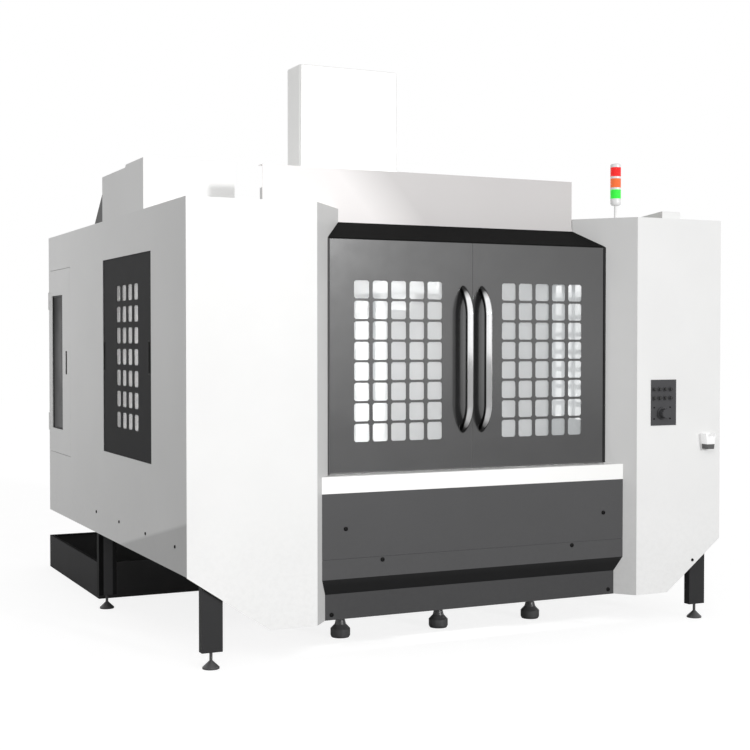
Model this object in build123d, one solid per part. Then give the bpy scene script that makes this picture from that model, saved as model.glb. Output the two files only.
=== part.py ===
from build123d import *
import os

# Vertical machining centre in a full sheet-metal enclosure, millimetres.
# X runs to the operator's right, Y to the back and Z up from the floor.
# Places are measured from the middle of the front plane, then every piece
# is set back so that the origin is under the middle of the whole machine.

# Enclosure
half_width = 1650
body_depth = 3110
wall_top = 2357
wall_bottom = 475
sheet = 3
flange = 30
panel_bottom = 175
panel_cut_rise = 297
left_cut_run = 440
right_cut_run = 381
fold_gap = 5

# Front recess between the two splayed returns
opening_centre = 50
opening_front = 2000
opening_back = 1500
recess = 298

# Front doors
door_meet = 45
door_gap = 4
door_face = 147
door_thick = 30
door_bottom = 938
door_top = 2184
door_tuck = 20
door_slot_gap = 4
cell_cols = 5
cell_rows = 8
cell_size = (90, 96.5)
cell_pitch = (110, 109.35)
cell_corner = 9
cell_inset = 190
cell_bottom = 1106
pane_thick = 6
pane_margin = 25
hanger = (120, 30)
hanger_gap = 0.3
hanger_shares = (1 / 6, 5 / 6)

# Handles
handle_tube = 32
handle_offset = 59
handle_reach = 80
handle_bottom = 1163
handle_length = 761
rosette = (46, 6)

# Door track behind the lintel
beam_front = 215
beam_size = 60
beam_bottom = 2110
rail_bar = (12, 20)

# Sill, apron and lintel
sill_face = 62
sill_top = 934
sill_bottom = 846
sill_depth = 143
apron_seam = 500
apron_bend = 395
kick_top = 311
kick_face = 103
seam_gap = 1.5
panel_screw = 16
apron_screw = (188, 658)
fold_screw = (402, 483)
kick_screw = (124, 203)
wall_screws = (195, 729, 1271, 1800)
wall_screw_height = 603
lintel_bottom = 2188
lintel_rise = 95

# Upper guard, cover of the tool magazine and cover of the column
guard_top = 2575
guard_inset = (515, 855)
guard_return = 60
magazine_cover_front = 747
magazine_cover_depth = 878
magazine_cover_width = 520
magazine_cover_top = 2635
magazine_cover_step = 15
magazine_cover_step_at = 350
brace_depth = 199
brace_rise = 175
brace_width = 140
column_cover_width = 698
column_cover_front = 1693
column_cover_depth = 228
column_cover_top = 3420
cover_round = 22

# Side doors, in the left and right walls
side_door_front = 612
right_door_shift = 449
side_door_width = 1013
side_door_bottom = 987
side_door_height = 1138
side_door_tuck = 20
side_door_thick = 25
side_door_gap = 2
side_door_travel = 820
side_cell_cols = 4
side_cell_size = (82, 89)
side_cell_pitch = (123, 121)
side_cell_inset = 266
side_rows_left = 7
side_rows_right = 8
side_cell_middle = 1555
side_rail = (25, 19)
side_grip = (34, 174, 14)
grip_inset = 28
grip_height = 1555

# Rear access door in the left wall
access_inset = 630
access_width = 600
access_bottom = 885
access_height = 1243
access_thick = 25
access_gap = 3
slit_front = 223
slit_width = 315
slit_bottom = 165
slit_height = 904
slit_depth = 12
pull_front = 113
pull_size = (40, 155, 12)
pull_drop = 53
hinge_pin = 6
knuckle_length = 60
hinge_shares = (1 / 6, 5 / 6)
knuckle_gap = 1
hinge_leaf = 16

# Electrical cabinet at the back
cabinet_left = -500
cabinet_width = 1200
cabinet_depth = 547
cabinet_bottom = 700
cabinet_height = 1550
cabinet_rim = 10
cabinet_door_thick = 25
back_plate = (40, 5)
drive_box = (150, 180, 380)
drive_count = 5
drive_lift = 930
lever_size = (30, 180)
lever_lift = 800

# Coolant and chip tank
tank_half = 1550
tank_front = 2148
tank_depth = 1434
tank_height = 230
tank_wall = 4
tank_rim = 20

# Legs and feet
leg_section = (110, 48)
leg_bottom = 84
leg_top = 580
leg_plate_bottom = 485
leg_notch = 2
front_leg_inset = 141
front_leg_y = 53
rear_leg_inset = 70
rear_leg_y = 1832
foot_disc = 87
foot_lip = 8
foot_cone = 26
foot_stud = 16
bed_foot_pitch = 617
bed_foot_front = 460
bed_foot_back = 2050
bed_foot_disc = 110
bed_foot_height = 96
bed_foot_neck = 52
bed_foot_step = 6

# Operator's panel, pendant holder, hood and signal tower
plate_inset = 503
plate_width = 178
plate_bottom = 1154
plate_height = 266
plate_thick = 4
button_top_row = 1365
button_row_pitch = 51
button_margin = 21
button_pitch = 38.7
button_cols = 4
button_size = 19
button_reach = 14
button_tail = 10
button_bevel = 1.5
button_fit = 0.4
bezel_ring = (4, 5)
wheel_margin = (78, 71)
wheel_size = 73
notch_count = 12
notch_size = 6
notch_depth = 2.5
wheel_reach = 43
grip_size = 56
skirt_thick = 8
grip_bevel = 3
wheel_shaft = 12
wheel_gap = 1
shaft_fit = 0.05
holder_inset = 143
holder_width = 74
holder_bottom = 1009
holder_height = 91
holder_reach = 50
holder_flare = 14
holder_front_drop = 16
holder_sheet = 4
hood_inset = 360
hood_width = 130
hood_front = 90
hood_depth = 470
hood_height = 50
hood_rear_height = 12
tower_set = 14
tower_back = 200
tower_pole = 17
tower_flange = (54, 8)
tower_size = 62
tower_base_bottom = 80
tower_base_height = 41
tower_base_round = 18
tower_lens_height = 53
tower_ring_height = 12
tower_cap_height = 22

# Bed, saddle and table
axis_y = 980
bed_half = 450
bed_base_half = 700
bed_front = 330
bed_back = 2420
bed_bottom = 250
bed_base_top = 380
bed_top = 590
bed_end_wall = 30
bed_ledge = 60
foot_boss = (140, 70)
trough_half = 80
trough_depth = 110
way_size = (25, 28)
block_size = (70, 110)
block_shoulder = 12
way_fit = 0.3
y_way_offset = 330
y_way_back = 1690
carriage_pitch_y = 230
saddle_half = 980
saddle_depth = 600
saddle_thick = 120
saddle_lift = 50
saddle_cut = (70, 60)
x_way_offset = 230
carriage_pitch_x = 300
table_half = 650
table_depth = 600
table_lift = 60
table_thick = 110
slot_count = 5
slot_pitch = 112
slot_neck = (18, 18)
slot_foot = (32, 14)
screw_size = 32
screw_drop_y = 30
screw_drop_x = 25
nut_width = 90
nut_reach = 100
motor_size = 150
motor_length = 150

# Column, spindle head and spindle
column_half = 290
column_body_half = 349
column_face = 1760
column_shoulder = 90
column_back = 2420
column_top = 2700
column_foot_half = 450
column_foot_height = 90
column_foot_taper = 50
channel_half = 75
channel_depth = 120
channel_bottom = 930
channel_roof = 30
z_way_offset = 190
z_way_bottom = 1240
z_way_top = 2620
z_screw_behind = 60
z_screw_size = 40
head_bottom = 1930
head_top = 2600
head_half = 200
head_nose_front = 780
head_rear_half = 260
head_rear_depth = 260
head_nose_top = 2330
head_block_low = 2010
head_block_high = 2520
head_round = 60
nose_bottom = 1830
nose_size = 150
nose_taper = 40
spindle_size = 88
spindle_face = 1824
spindle_length = 480
taper_mouth = 44.5
taper_length = 65
taper_ratio = 7 / 24
drawbar_bore = 14
drive_key = (16, 10, 8)
spindle_motor_size = 230
z_motor_size = 180
z_motor_length = 320

# Tool magazine
disc_inset = 280
disc_y = 1186
disc_z = 2200
disc_size = 600
disc_thick = 70
disc_hub = 150
pot_count = 24
pot_circle = 640
pot_size = 72
pot_length = 150
magazine_shaft = 60
bracket_section = 100
bracket_gap = 10

# Inner guards and chip pans
guard_plane = 1850
guard_bottom = 620
pan_outer = 610
pan_inner = 430
pan_gap = 1
pan_front = 305

tower_order = ("green_lens", "amber_lens", "red_lens")

tank_back = tank_front + tank_depth
front_reach = holder_reach
middle_y = (tank_back - front_reach) / 2
middle_x = -hinge_pin
guard_left = guard_inset[0] - half_width
guard_right = half_width - guard_inset[1]
front_leg_x = half_width - front_leg_inset
rear_leg_x = half_width - rear_leg_inset
plate_left = half_width - plate_inset
wheel_place = (plate_left + wheel_margin[0], plate_bottom + wheel_margin[1])
holder_left = half_width - holder_inset
access_front = body_depth - access_inset
hood_left = half_width - hood_inset
disc_x = disc_inset - half_width
tower_place = (opening_centre + opening_front / 2 - tower_set, tower_back)
column_middle = column_face + z_screw_behind
screw_y_level = bed_top - screw_drop_y
saddle_bottom = bed_top + saddle_lift
saddle_top = saddle_bottom + saddle_thick
table_bottom = saddle_top + table_lift
table_top = table_bottom + table_thick
screw_x_level = saddle_top - screw_drop_x


def opening_edge(side, depth):
    """X of the visible face of a splayed return, at a depth behind the front plane."""
    width = opening_front - (opening_front - opening_back) * depth / recess
    return opening_centre + side * width / 2


def block(x0, x1, y0, y1, z0, z1):
    """A box between two corners."""
    size = Box(x1 - x0, y1 - y0, z1 - z0)
    return Pos((x0 + x1) / 2, (y0 + y1) / 2, (z0 + z1) / 2) * size


def upright(points, z0, z1):
    """A prism that stands between two levels, from its outline in plan."""
    outline = make_face(Polyline(*points, close=True))
    return Pos(0, 0, z0) * extrude(outline, z1 - z0)


def along_x(points, x0, x1):
    """A prism along X, from its outline in Y and Z."""
    outline = make_face(Plane.YZ * Polyline(*points, close=True))
    return Pos(x0, 0, 0) * extrude(outline, x1 - x0, dir=(1, 0, 0))


def along_y(points, y0, y1):
    """A prism along Y, from its outline in X and Z."""
    outline = make_face(Plane.XZ * Polyline(*points, close=True))
    return Pos(0, y0, 0) * extrude(outline, y1 - y0, dir=(0, 1, 0))


def rod_x(size, x0, x1, y, z):
    return Pos((x0 + x1) / 2, y, z) * Rot(0, 90, 0) * Cylinder(size / 2, x1 - x0)


def rod_y(size, y0, y1, x, z):
    return Pos(x, (y0 + y1) / 2, z) * Rot(90, 0, 0) * Cylinder(size / 2, y1 - y0)


def rod_z(size, z0, z1, x, y):
    return Pos(x, y, (z0 + z1) / 2) * Cylinder(size / 2, z1 - z0)


def bent_strip(points, thick):
    """Outline of a sheet bent along a line of points, its thickness to the left of the way it runs."""
    line = [Vector(*point) for point in points]
    normals = [(b - a).normalized().rotate(Axis.Z, 90) for a, b in zip(line, line[1:])]
    inner = [line[0] + normals[0] * thick]
    for i in range(1, len(line) - 1):
        half = (normals[i - 1] + normals[i]).normalized()
        inner.append(line[i] + half * (thick / half.dot(normals[i])))
    inner.append(line[-1] + normals[-1] * thick)
    outline = line + inner[::-1]
    return [(point.X, point.Y) for point in outline]


def cell_cut(size, corner, deep):
    """One window cell of a perforated panel, with its corners taken off."""
    width, height = size
    face = Plane.XZ * chamfer(Rectangle(width, height).vertices(), corner)
    return extrude(face, deep, both=True)


def front_panel(side):
    """Front corner panel and its splayed return, folded from one sheet."""
    edge = side * half_width
    cut_run = right_cut_run if side > 0 else left_cut_run
    plan = [(edge, 0), (opening_edge(side, 0), 0), (opening_edge(side, recess), recess)]
    if side > 0:
        plan = plan[::-1]
    panel = upright(bent_strip(plan, sheet), panel_bottom, wall_top)
    corner = [
        (edge, panel_bottom),
        (edge - side * cut_run, panel_bottom),
        (edge, panel_bottom + panel_cut_rise),
    ]
    panel -= along_y(corner, -sheet, 2 * sheet)
    slot_front = door_face - door_slot_gap
    inner = opening_edge(side, recess) - side * sheet
    outer = opening_edge(side, 0) + side * flange
    panel -= block(
        min(inner, outer),
        max(inner, outer),
        slot_front,
        recess + sheet,
        sill_top,
        lintel_bottom,
    )
    return panel


def opening_prism(z0, z1):
    """The space between the two returns, carried straight back behind them."""
    far = recess + flange
    points = [
        (opening_edge(-1, 0), 0),
        (opening_edge(1, 0), 0),
        (opening_edge(1, recess), recess),
        (opening_edge(1, recess), far),
        (opening_edge(-1, recess), far),
        (opening_edge(-1, recess), recess),
    ]
    return upright(points, z0, z1)


def front_right_panel():
    """Right corner panel, cut out behind the operator's plate."""
    panel = front_panel(1)
    lap = flange / 4
    panel -= block(
        plate_left + lap,
        plate_left + plate_width - lap,
        -sheet,
        2 * sheet,
        plate_bottom + lap,
        plate_bottom + plate_height - lap,
    )
    screw_x = half_width - right_cut_run / 2 - flange / 4
    screw_z = panel_bottom + panel_cut_rise / 2 + flange
    return panel - rod_y(panel_screw, -sheet, 2 * sheet, screw_x, screw_z)


def sill():
    """Ledge under the doors, folded down at the front and the back."""
    back = sill_face + sill_depth
    profile = [
        (sill_face, sill_bottom),
        (sill_face, sill_top),
        (back, sill_top),
        (back, sill_bottom),
        (back - sheet, sill_bottom),
        (back - sheet, sill_top - sheet),
        (sill_face + sheet, sill_top - sheet),
        (sill_face + sheet, sill_bottom),
    ]
    bar = along_x(profile, -half_width, half_width)
    return bar & opening_prism(sill_bottom, sill_top)


def screw_pair(place, face):
    """Holes for one screw at each end of a front sheet, set in from the opening's edges."""
    inset, height = place
    reach = opening_front / 2 - inset
    return [
        rod_y(panel_screw, face - sheet, face + 2 * sheet, opening_centre + side * reach, height)
        for side in (-1, 1)
    ]


def upper_apron():
    """Plain panel under the ledge, hung from a flange at its top."""
    bottom = apron_seam + seam_gap
    back = sill_face + flange
    profile = [
        (sill_face, bottom),
        (sill_face, sill_bottom),
        (back, sill_bottom),
        (back, sill_bottom - sheet),
        (sill_face + sheet, sill_bottom - sheet),
        (sill_face + sheet, bottom),
    ]
    panel = along_x(profile, -half_width, half_width)
    panel &= opening_prism(bottom, sill_bottom)
    return panel - screw_pair(apron_screw, sill_face)


def lower_apron():
    """Panel that folds back to the kick plate, in one sheet."""
    line = [
        (sill_face, apron_seam),
        (sill_face, apron_bend),
        (kick_face, kick_top),
        (kick_face, panel_bottom),
        (kick_face + flange, panel_bottom),
    ]
    panel = along_x(bent_strip(line, sheet), -half_width, half_width)
    panel &= opening_prism(panel_bottom, apron_seam)
    panel -= screw_pair(fold_screw, sill_face)
    return panel - screw_pair(kick_screw, kick_face)


def lintel():
    """Black sloped sheet from above the doors up to the guard."""
    line = [
        (door_face, lintel_bottom),
        (recess, lintel_bottom + lintel_rise),
    ]
    panel = along_x(bent_strip(line, sheet), -half_width, half_width)
    return panel & opening_prism(lintel_bottom - flange, wall_top)


def upper_guard():
    """High panel above the doors, with returns at its right end and top."""
    bottom = lintel_bottom + lintel_rise
    inner = opening_edge(-1, recess)
    back = recess + sheet
    outline = [
        (inner, bottom),
        (guard_right, bottom),
        (guard_right, guard_top),
        (guard_left, guard_top),
        (guard_left, wall_top),
        (inner, wall_top),
    ]
    guard = along_y(outline, recess, back)
    depth = recess + guard_return
    guard += block(guard_right - sheet, guard_right, recess, depth, bottom, guard_top)
    guard += block(guard_left, guard_right, recess, depth, guard_top - sheet, guard_top)
    return guard


def roof():
    """Roof sheet round the open working space, with a hole under the magazine's cover."""
    left = opening_edge(-1, 0) - fold_gap
    right = opening_edge(1, 0) + fold_gap
    left_back = opening_edge(-1, recess) - fold_gap
    right_back = opening_edge(1, recess) + fold_gap
    inner_back = bed_back + flange
    edge = half_width - sheet
    back = body_depth - sheet
    points = [
        (-edge, sheet),
        (left, sheet),
        (left_back, recess),
        (left_back, inner_back),
        (right_back, inner_back),
        (right_back, recess),
        (right, sheet),
        (edge, sheet),
        (edge, back),
        (-edge, back),
    ]
    panel = upright(points, wall_top - sheet, wall_top)
    lap = flange / 3
    return panel - block(
        -half_width + lap,
        -half_width + magazine_cover_width - lap,
        magazine_cover_front + lap,
        magazine_cover_front + magazine_cover_depth - lap,
        wall_top - flange,
        wall_top + flange,
    )


def side_rails(side, front):
    """Lower rail and upper guide of a side door, welded inside its wall."""
    inner = half_width - sheet
    x0, x1 = sorted((side * inner, side * (inner - side_rail[0])))
    door_low = side_door_bottom - side_door_tuck
    door_high = side_door_bottom + side_door_height + side_door_tuck
    back = front + side_door_width + side_door_tuck + side_door_travel
    rails = []
    for z0 in (door_low - hanger_gap - side_rail[1], door_high + hanger_gap):
        rails.append(block(x0, x1, front - side_door_tuck, back, z0, z0 + side_rail[1]))
    return rails


def side_wall(side, door_front):
    """Side wall with folded edges, an opening for its door and the door's rails."""
    outer = side * half_width
    inner = side * (half_width - sheet)
    fold = side * (half_width - flange)
    x0, x1 = sorted((outer, inner))
    f0, f1 = sorted((outer, fold))
    back = body_depth - sheet
    wall = block(x0, x1, sheet, back, wall_bottom, wall_top)
    wall += block(f0, f1, sheet, back, wall_bottom, wall_bottom + sheet)
    wall += block(f0, f1, back - sheet, back, wall_bottom, wall_top - sheet)
    wall -= block(
        min(x0, f0) - sheet,
        max(x1, f1) + sheet,
        door_front,
        door_front + side_door_width,
        side_door_bottom,
        side_door_bottom + side_door_height,
    )
    for rail in side_rails(side, door_front):
        wall += rail
    half = leg_section[1] / 2 + leg_notch
    n0, n1 = sorted((inner, side * (rear_leg_x - leg_section[0])))
    return wall - block(n0, n1, rear_leg_y - half, rear_leg_y + half, 0, leg_plate_bottom)


def left_wall():
    """Left wall, with the frame of the rear access door and its fixed knuckles."""
    wall = side_wall(-1, side_door_front)
    wall -= block(
        -half_width - sheet,
        -half_width + 2 * sheet,
        access_front,
        access_front + access_width,
        access_bottom,
        access_bottom + access_height,
    )
    for y in wall_screws:
        wall -= rod_x(
            panel_screw, -half_width - sheet, -half_width + 2 * sheet, y, wall_screw_height
        )
    axis = access_axis()
    leaf_to = (-half_width, axis[1] + hinge_leaf)
    for half in hinge_halves(axis, leaf_to, access_bottom, access_height, True):
        wall += half
    return wall


def right_wall():
    """Right wall: its door stands further back than the left one."""
    return side_wall(1, side_door_front + right_door_shift)


def access_axis():
    """Hinge line of the rear access door, outside the wall."""
    return -half_width - hinge_pin, access_front + access_width - access_gap / 2


def cabinet_axis():
    """Hinge line of the electrical cabinet's door, behind the back wall."""
    return cabinet_left + cabinet_width - cabinet_rim - access_gap / 2, body_depth + hinge_pin


def hinge_halves(axis, leaf_to, bottom, height, fixed):
    """One half of both hinges of a door: barrels on the hinge line, with leaves on its face."""
    x, y = axis
    leaf_x, leaf_y = leaf_to
    halves = []
    for share in hinge_shares:
        middle = bottom + height * share
        z0, z1 = middle + knuckle_gap / 2, middle + knuckle_length
        if fixed:
            z0, z1 = middle - knuckle_length, middle - knuckle_gap / 2
        leaf = block(min(x, leaf_x), max(x, leaf_x), min(y, leaf_y), max(y, leaf_y), z0, z1)
        halves.append(leaf + rod_z(2 * hinge_pin, z0, z1, x, y))
    return halves


def rear_wall():
    """Back wall, open behind the electrical cabinet."""
    edge = half_width - flange
    wall = block(-half_width, half_width, body_depth - sheet, body_depth, wall_bottom, wall_top)
    wall += block(-edge, edge, body_depth - flange, body_depth, wall_bottom, wall_bottom + sheet)
    wall -= block(
        cabinet_left + cabinet_rim,
        cabinet_left + cabinet_width - cabinet_rim,
        body_depth - 2 * flange,
        body_depth + sheet,
        cabinet_bottom + cabinet_rim,
        cabinet_bottom + cabinet_height - cabinet_rim,
    )
    axis = cabinet_axis()
    leaf_to = (axis[0] + hinge_leaf, body_depth)
    for half in hinge_halves(axis, leaf_to, cabinet_bottom, cabinet_height, True):
        wall += half
    return wall


def magazine_cover():
    """Cover that stands on the roof over the tool magazine, open below."""
    left = -half_width
    right = left + magazine_cover_width
    front = magazine_cover_front
    back = front + magazine_cover_depth
    step_y = front + magazine_cover_step_at
    low_top = magazine_cover_top - magazine_cover_step
    profile = [
        (front, wall_top),
        (front, magazine_cover_top),
        (step_y, magazine_cover_top),
        (step_y + magazine_cover_step, low_top),
        (back, low_top),
        (back, wall_top),
    ]
    inside = [
        (front + sheet, wall_top - sheet),
        (front + sheet, magazine_cover_top - sheet),
        (step_y, magazine_cover_top - sheet),
        (step_y + magazine_cover_step, low_top - sheet),
        (back - sheet, low_top - sheet),
        (back - sheet, wall_top - sheet),
    ]
    return along_x(profile, left, right) - along_x(inside, left + sheet, right - sheet)


def magazine_brace():
    """Dark sloped piece behind the magazine's cover."""
    back = magazine_cover_front + magazine_cover_depth
    profile = [
        (back, wall_top),
        (back, wall_top + brace_rise),
        (back + brace_depth, wall_top),
    ]
    inside = [
        (back + sheet, wall_top - sheet),
        (back + sheet, wall_top + brace_rise - 4 * sheet),
        (back + brace_depth - 4 * sheet, wall_top - sheet),
    ]
    left = -half_width + sheet
    right = left + brace_width
    return along_x(profile, left, right) - along_x(inside, left + sheet, right - sheet)


def column_cover():
    """White cover over the motor on top of the column, with round edges."""
    half = column_cover_width / 2
    back = column_cover_front + column_cover_depth
    cover = block(-half, half, column_cover_front, back, column_top, column_cover_top)
    cover = fillet(cover.edges().filter_by(Axis.Z), cover_round)
    cover = fillet(cover.faces().sort_by(Axis.Z)[-1].edges(), cover_round / 2)
    wall = 2 * sheet
    return cover - block(
        -half + wall,
        half - wall,
        column_cover_front + wall,
        back - wall,
        column_top - wall,
        column_cover_top - wall,
    )


def door_track():
    """Beam between the side walls, with the rail that the front doors hang on."""
    edge = half_width - sheet
    beam = block(
        -edge, edge, beam_front, beam_front + beam_size, beam_bottom, beam_bottom + beam_size
    )
    middle = beam_bottom + beam_size / 2
    low, high = middle - rail_bar[1] / 2, middle + rail_bar[1] / 2
    return beam + block(-edge, edge, beam_front - rail_bar[0], beam_front, low, high)


def door_span(side):
    """Inner and outer X of a front door."""
    inner = door_meet + side * door_gap / 2
    outer = opening_edge(side, door_face) + side * door_tuck
    return inner, outer


def window_start(side):
    """Lowest X of a front door's field of window cells."""
    field = (cell_cols - 1) * cell_pitch[0] + cell_size[0]
    if side > 0:
        return door_meet + cell_inset
    return door_meet - cell_inset - field


def front_door(side):
    """Sliding door: a perforated pan with its hangers at the back."""
    x0, x1 = sorted(door_span(side))
    back = door_face + door_thick
    door = block(x0, x1, door_face, back, door_bottom, door_top)
    door -= block(
        x0 + sheet,
        x1 - sheet,
        door_face + sheet,
        back + sheet,
        door_bottom + sheet,
        door_top - sheet,
    )
    start = window_start(side)
    for col in range(cell_cols):
        for row in range(cell_rows):
            x = start + cell_size[0] / 2 + col * cell_pitch[0]
            z = cell_bottom + cell_size[1] / 2 + row * cell_pitch[1]
            door -= Pos(x, door_face, z) * cell_cut(cell_size, cell_corner, 2 * sheet)
    middle = beam_bottom + beam_size / 2
    rail_face = beam_front - rail_bar[0]
    for share in hanger_shares:
        x = x0 + (x1 - x0) * share
        door += block(
            x - hanger[0] / 2,
            x + hanger[0] / 2,
            door_face + sheet,
            rail_face - hanger_gap,
            middle - hanger[1] / 2,
            middle + hanger[1] / 2,
        )
    return door


def door_glass(side):
    """Clear pane behind the window cells of a front door."""
    x0 = window_start(side) - pane_margin
    x1 = x0 + (cell_cols - 1) * cell_pitch[0] + cell_size[0] + 2 * pane_margin
    z0 = cell_bottom - pane_margin
    z1 = z0 + (cell_rows - 1) * cell_pitch[1] + cell_size[1] + 2 * pane_margin
    face = door_face + sheet
    return block(x0, x1, face, face + pane_thick, z0, z1)


def door_handle(side):
    """Upright bow handle bent from round tube, on two rosettes."""
    x = door_meet + side * handle_offset
    top = handle_bottom + handle_length
    reach = door_face - handle_reach
    path = FilletPolyline(
        (x, door_face, handle_bottom),
        (x, reach, handle_bottom),
        (x, reach, top),
        (x, door_face, top),
        radius=handle_reach - sheet,
    )
    section = Plane((x, door_face, handle_bottom), z_dir=(0, -1, 0)) * Circle(handle_tube / 2)
    handle = sweep(section, path)
    for z in (handle_bottom, top):
        handle += rod_y(rosette[0], door_face - rosette[1], door_face, x, z)
    return handle


def side_door(side, front, rows):
    """Sliding side door: a perforated pan with a recessed grip at each upright edge."""
    face = side * (half_width - sheet - side_door_gap)
    back = face - side * side_door_thick
    x0, x1 = sorted((face, back))
    y0, y1 = front - side_door_tuck, front + side_door_width + side_door_tuck
    z0 = side_door_bottom - side_door_tuck
    z1 = side_door_bottom + side_door_height + side_door_tuck
    door = block(x0, x1, y0, y1, z0, z1)
    p0, p1 = sorted((face - side * sheet, back - side * sheet))
    door -= block(p0, p1, y0 + sheet, y1 - sheet, z0 + sheet, z1 - sheet)
    field = (rows - 1) * side_cell_pitch[1] + side_cell_size[1]
    low = side_cell_middle + (rows - side_rows_left) * flange / 2 - field / 2
    for col in range(side_cell_cols):
        for row in range(rows):
            y = front + side_cell_inset + side_cell_size[0] / 2 + col * side_cell_pitch[0]
            z = low + side_cell_size[1] / 2 + row * side_cell_pitch[1]
            cut = Rot(0, 0, 90) * cell_cut(side_cell_size, cell_corner, 2 * sheet)
            door -= Pos(face, y, z) * cut
    wide, tall, deep = side_grip
    for y in (front + grip_inset + wide / 2, front + side_door_width - wide / 2):
        shell = block(
            *sorted((face - side * sheet / 2, face - side * (deep + sheet))),
            y - wide / 2 - sheet,
            y + wide / 2 + sheet,
            grip_height - tall / 2 - sheet,
            grip_height + tall / 2 + sheet,
        )
        door += shell
        door -= block(
            *sorted((face + side * sheet, face - side * deep)),
            y - wide / 2,
            y + wide / 2,
            grip_height - tall / 2,
            grip_height + tall / 2,
        )
    return door


def access_door():
    """Hinged door at the back of the left wall, with a slit window and a recessed pull."""
    face = -half_width
    y0 = access_front + access_gap
    y1 = access_front + access_width - access_gap
    z0 = access_bottom + access_gap
    z1 = access_bottom + access_height - access_gap
    door = block(face, face + access_thick, y0, y1, z0, z1)
    door -= block(
        face + slit_depth + sheet,
        face + access_thick + sheet,
        y0 + sheet,
        y1 - sheet,
        z0 + sheet,
        z1 - sheet,
    )
    slit_y = access_front + slit_front
    slit_z = access_bottom + slit_bottom
    door -= block(
        face - sheet,
        face + slit_depth,
        slit_y,
        slit_y + slit_width,
        slit_z,
        slit_z + slit_height,
    )
    pull_y = access_front + pull_front
    wide, tall, deep = pull_size
    door -= block(
        face - sheet,
        face + deep,
        pull_y - wide / 2,
        pull_y + wide / 2,
        grip_height - pull_drop - tall / 2,
        grip_height - pull_drop + tall / 2,
    )
    axis = access_axis()
    leaf_to = (face, axis[1] - hinge_leaf)
    for half in hinge_halves(axis, leaf_to, access_bottom, access_height, False):
        door += half
    return door


def electrical_cabinet():
    """Steel cabinet behind the column, open to the back, with drives on its back plate."""
    right = cabinet_left + cabinet_width
    back = body_depth - sheet
    front = back - cabinet_depth
    top = cabinet_bottom + cabinet_height
    shell = block(cabinet_left, right, front, back, cabinet_bottom, top)
    shell -= block(
        cabinet_left + sheet,
        right - sheet,
        front + sheet,
        back + sheet,
        cabinet_bottom + sheet,
        top - sheet,
    )
    lap, thick = back_plate
    plate_back = front + sheet + thick
    shell += block(
        cabinet_left + lap, right - lap, front + sheet, plate_back, cabinet_bottom + lap, top - lap
    )
    pitch = (cabinet_width - 2 * lap) / drive_count
    wide, deep, tall = drive_box
    for i in range(drive_count):
        x = cabinet_left + lap + pitch * (i + 0.5)
        z = cabinet_bottom + drive_lift
        shell += block(x - wide / 2, x + wide / 2, plate_back, plate_back + deep, z, z + tall)
    return shell


def cabinet_door():
    """Door of the electrical cabinet, flush in the back wall, with a lever lock."""
    x0 = cabinet_left + cabinet_rim + access_gap
    x1 = cabinet_left + cabinet_width - cabinet_rim - access_gap
    z0 = cabinet_bottom + cabinet_rim + access_gap
    z1 = cabinet_bottom + cabinet_height - cabinet_rim - access_gap
    front = body_depth - cabinet_door_thick
    door = block(x0, x1, front, body_depth, z0, z1)
    door -= block(
        x0 + sheet,
        x1 - sheet,
        front - sheet,
        body_depth - sheet,
        z0 + sheet,
        z1 - sheet,
    )
    axis = cabinet_axis()
    leaf_to = (axis[0] - hinge_leaf, body_depth)
    for half in hinge_halves(axis, leaf_to, cabinet_bottom, cabinet_height, False):
        door += half
    lock_x = x0 + flange
    half = lever_size[0] / 2
    low = cabinet_bottom + lever_lift
    high = low + lever_size[1]
    door += block(lock_x - half, lock_x + half, body_depth, body_depth + half, low, high)
    return door


def coolant_tank():
    """Open tank on the floor under the back of the machine, with a folded rim."""
    tank = block(-tank_half, tank_half, tank_front, tank_back, 0, tank_height)
    inner = tank_half - tank_wall
    tank -= block(
        -inner, inner, tank_front + tank_wall, tank_back - tank_wall, tank_wall, 2 * tank_height
    )
    rim = tank_half - tank_rim
    rim_z = tank_height - tank_wall
    frame = block(-tank_half, tank_half, tank_front, tank_back, rim_z, tank_height)
    frame -= block(
        -rim, rim, tank_front + tank_rim, tank_back - tank_rim, 0, 2 * tank_height
    )
    return tank + frame


def legs():
    """Four posts under the enclosure, each welded to a plate on a wall or panel."""
    wide, deep = leg_section
    posts = []
    for side in (-1, 1):
        x = side * front_leg_x
        front = front_leg_y - deep / 2
        post = block(
            x - wide / 2, x + wide / 2, front, front + deep, leg_bottom, leg_top
        )
        post += block(
            x - wide / 2, x + wide / 2, sheet, front, leg_plate_bottom, leg_top
        )
        posts.append(post)
        x = side * rear_leg_x
        post = block(
            x - wide / 2,
            x + wide / 2,
            rear_leg_y - deep / 2,
            rear_leg_y + deep / 2,
            leg_bottom,
            leg_top,
        )
        inner = x + side * wide / 2
        edge = side * (half_width - sheet)
        post += block(
            min(inner, edge),
            max(inner, edge),
            rear_leg_y - deep,
            rear_leg_y + deep,
            leg_plate_bottom,
            leg_top,
        )
        posts.append(post)
    return Compound(children=posts)


def leg_feet():
    """Four threaded studs on coned discs, one under each leg."""
    radius = foot_disc / 2
    profile = [
        (0, 0),
        (radius, 0),
        (radius, foot_lip),
        (foot_stud / 2 + foot_lip, foot_lip + foot_cone),
        (foot_stud / 2, foot_lip + foot_cone + foot_lip),
        (foot_stud / 2, leg_bottom),
        (0, leg_bottom),
    ]
    foot = revolve(make_face(Plane.XZ * Polyline(*profile, close=True)), Axis.Z)
    places = []
    for side in (-1, 1):
        places.append((side * front_leg_x, front_leg_y))
        places.append((side * rear_leg_x, rear_leg_y))
    return [Pos(x, y, 0) * foot for x, y in places]


def bed_foot_places():
    places = []
    for y in (bed_foot_front, bed_foot_back):
        for step in (-1, 0, 1):
            places.append((step * bed_foot_pitch, y))
    return places


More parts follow.
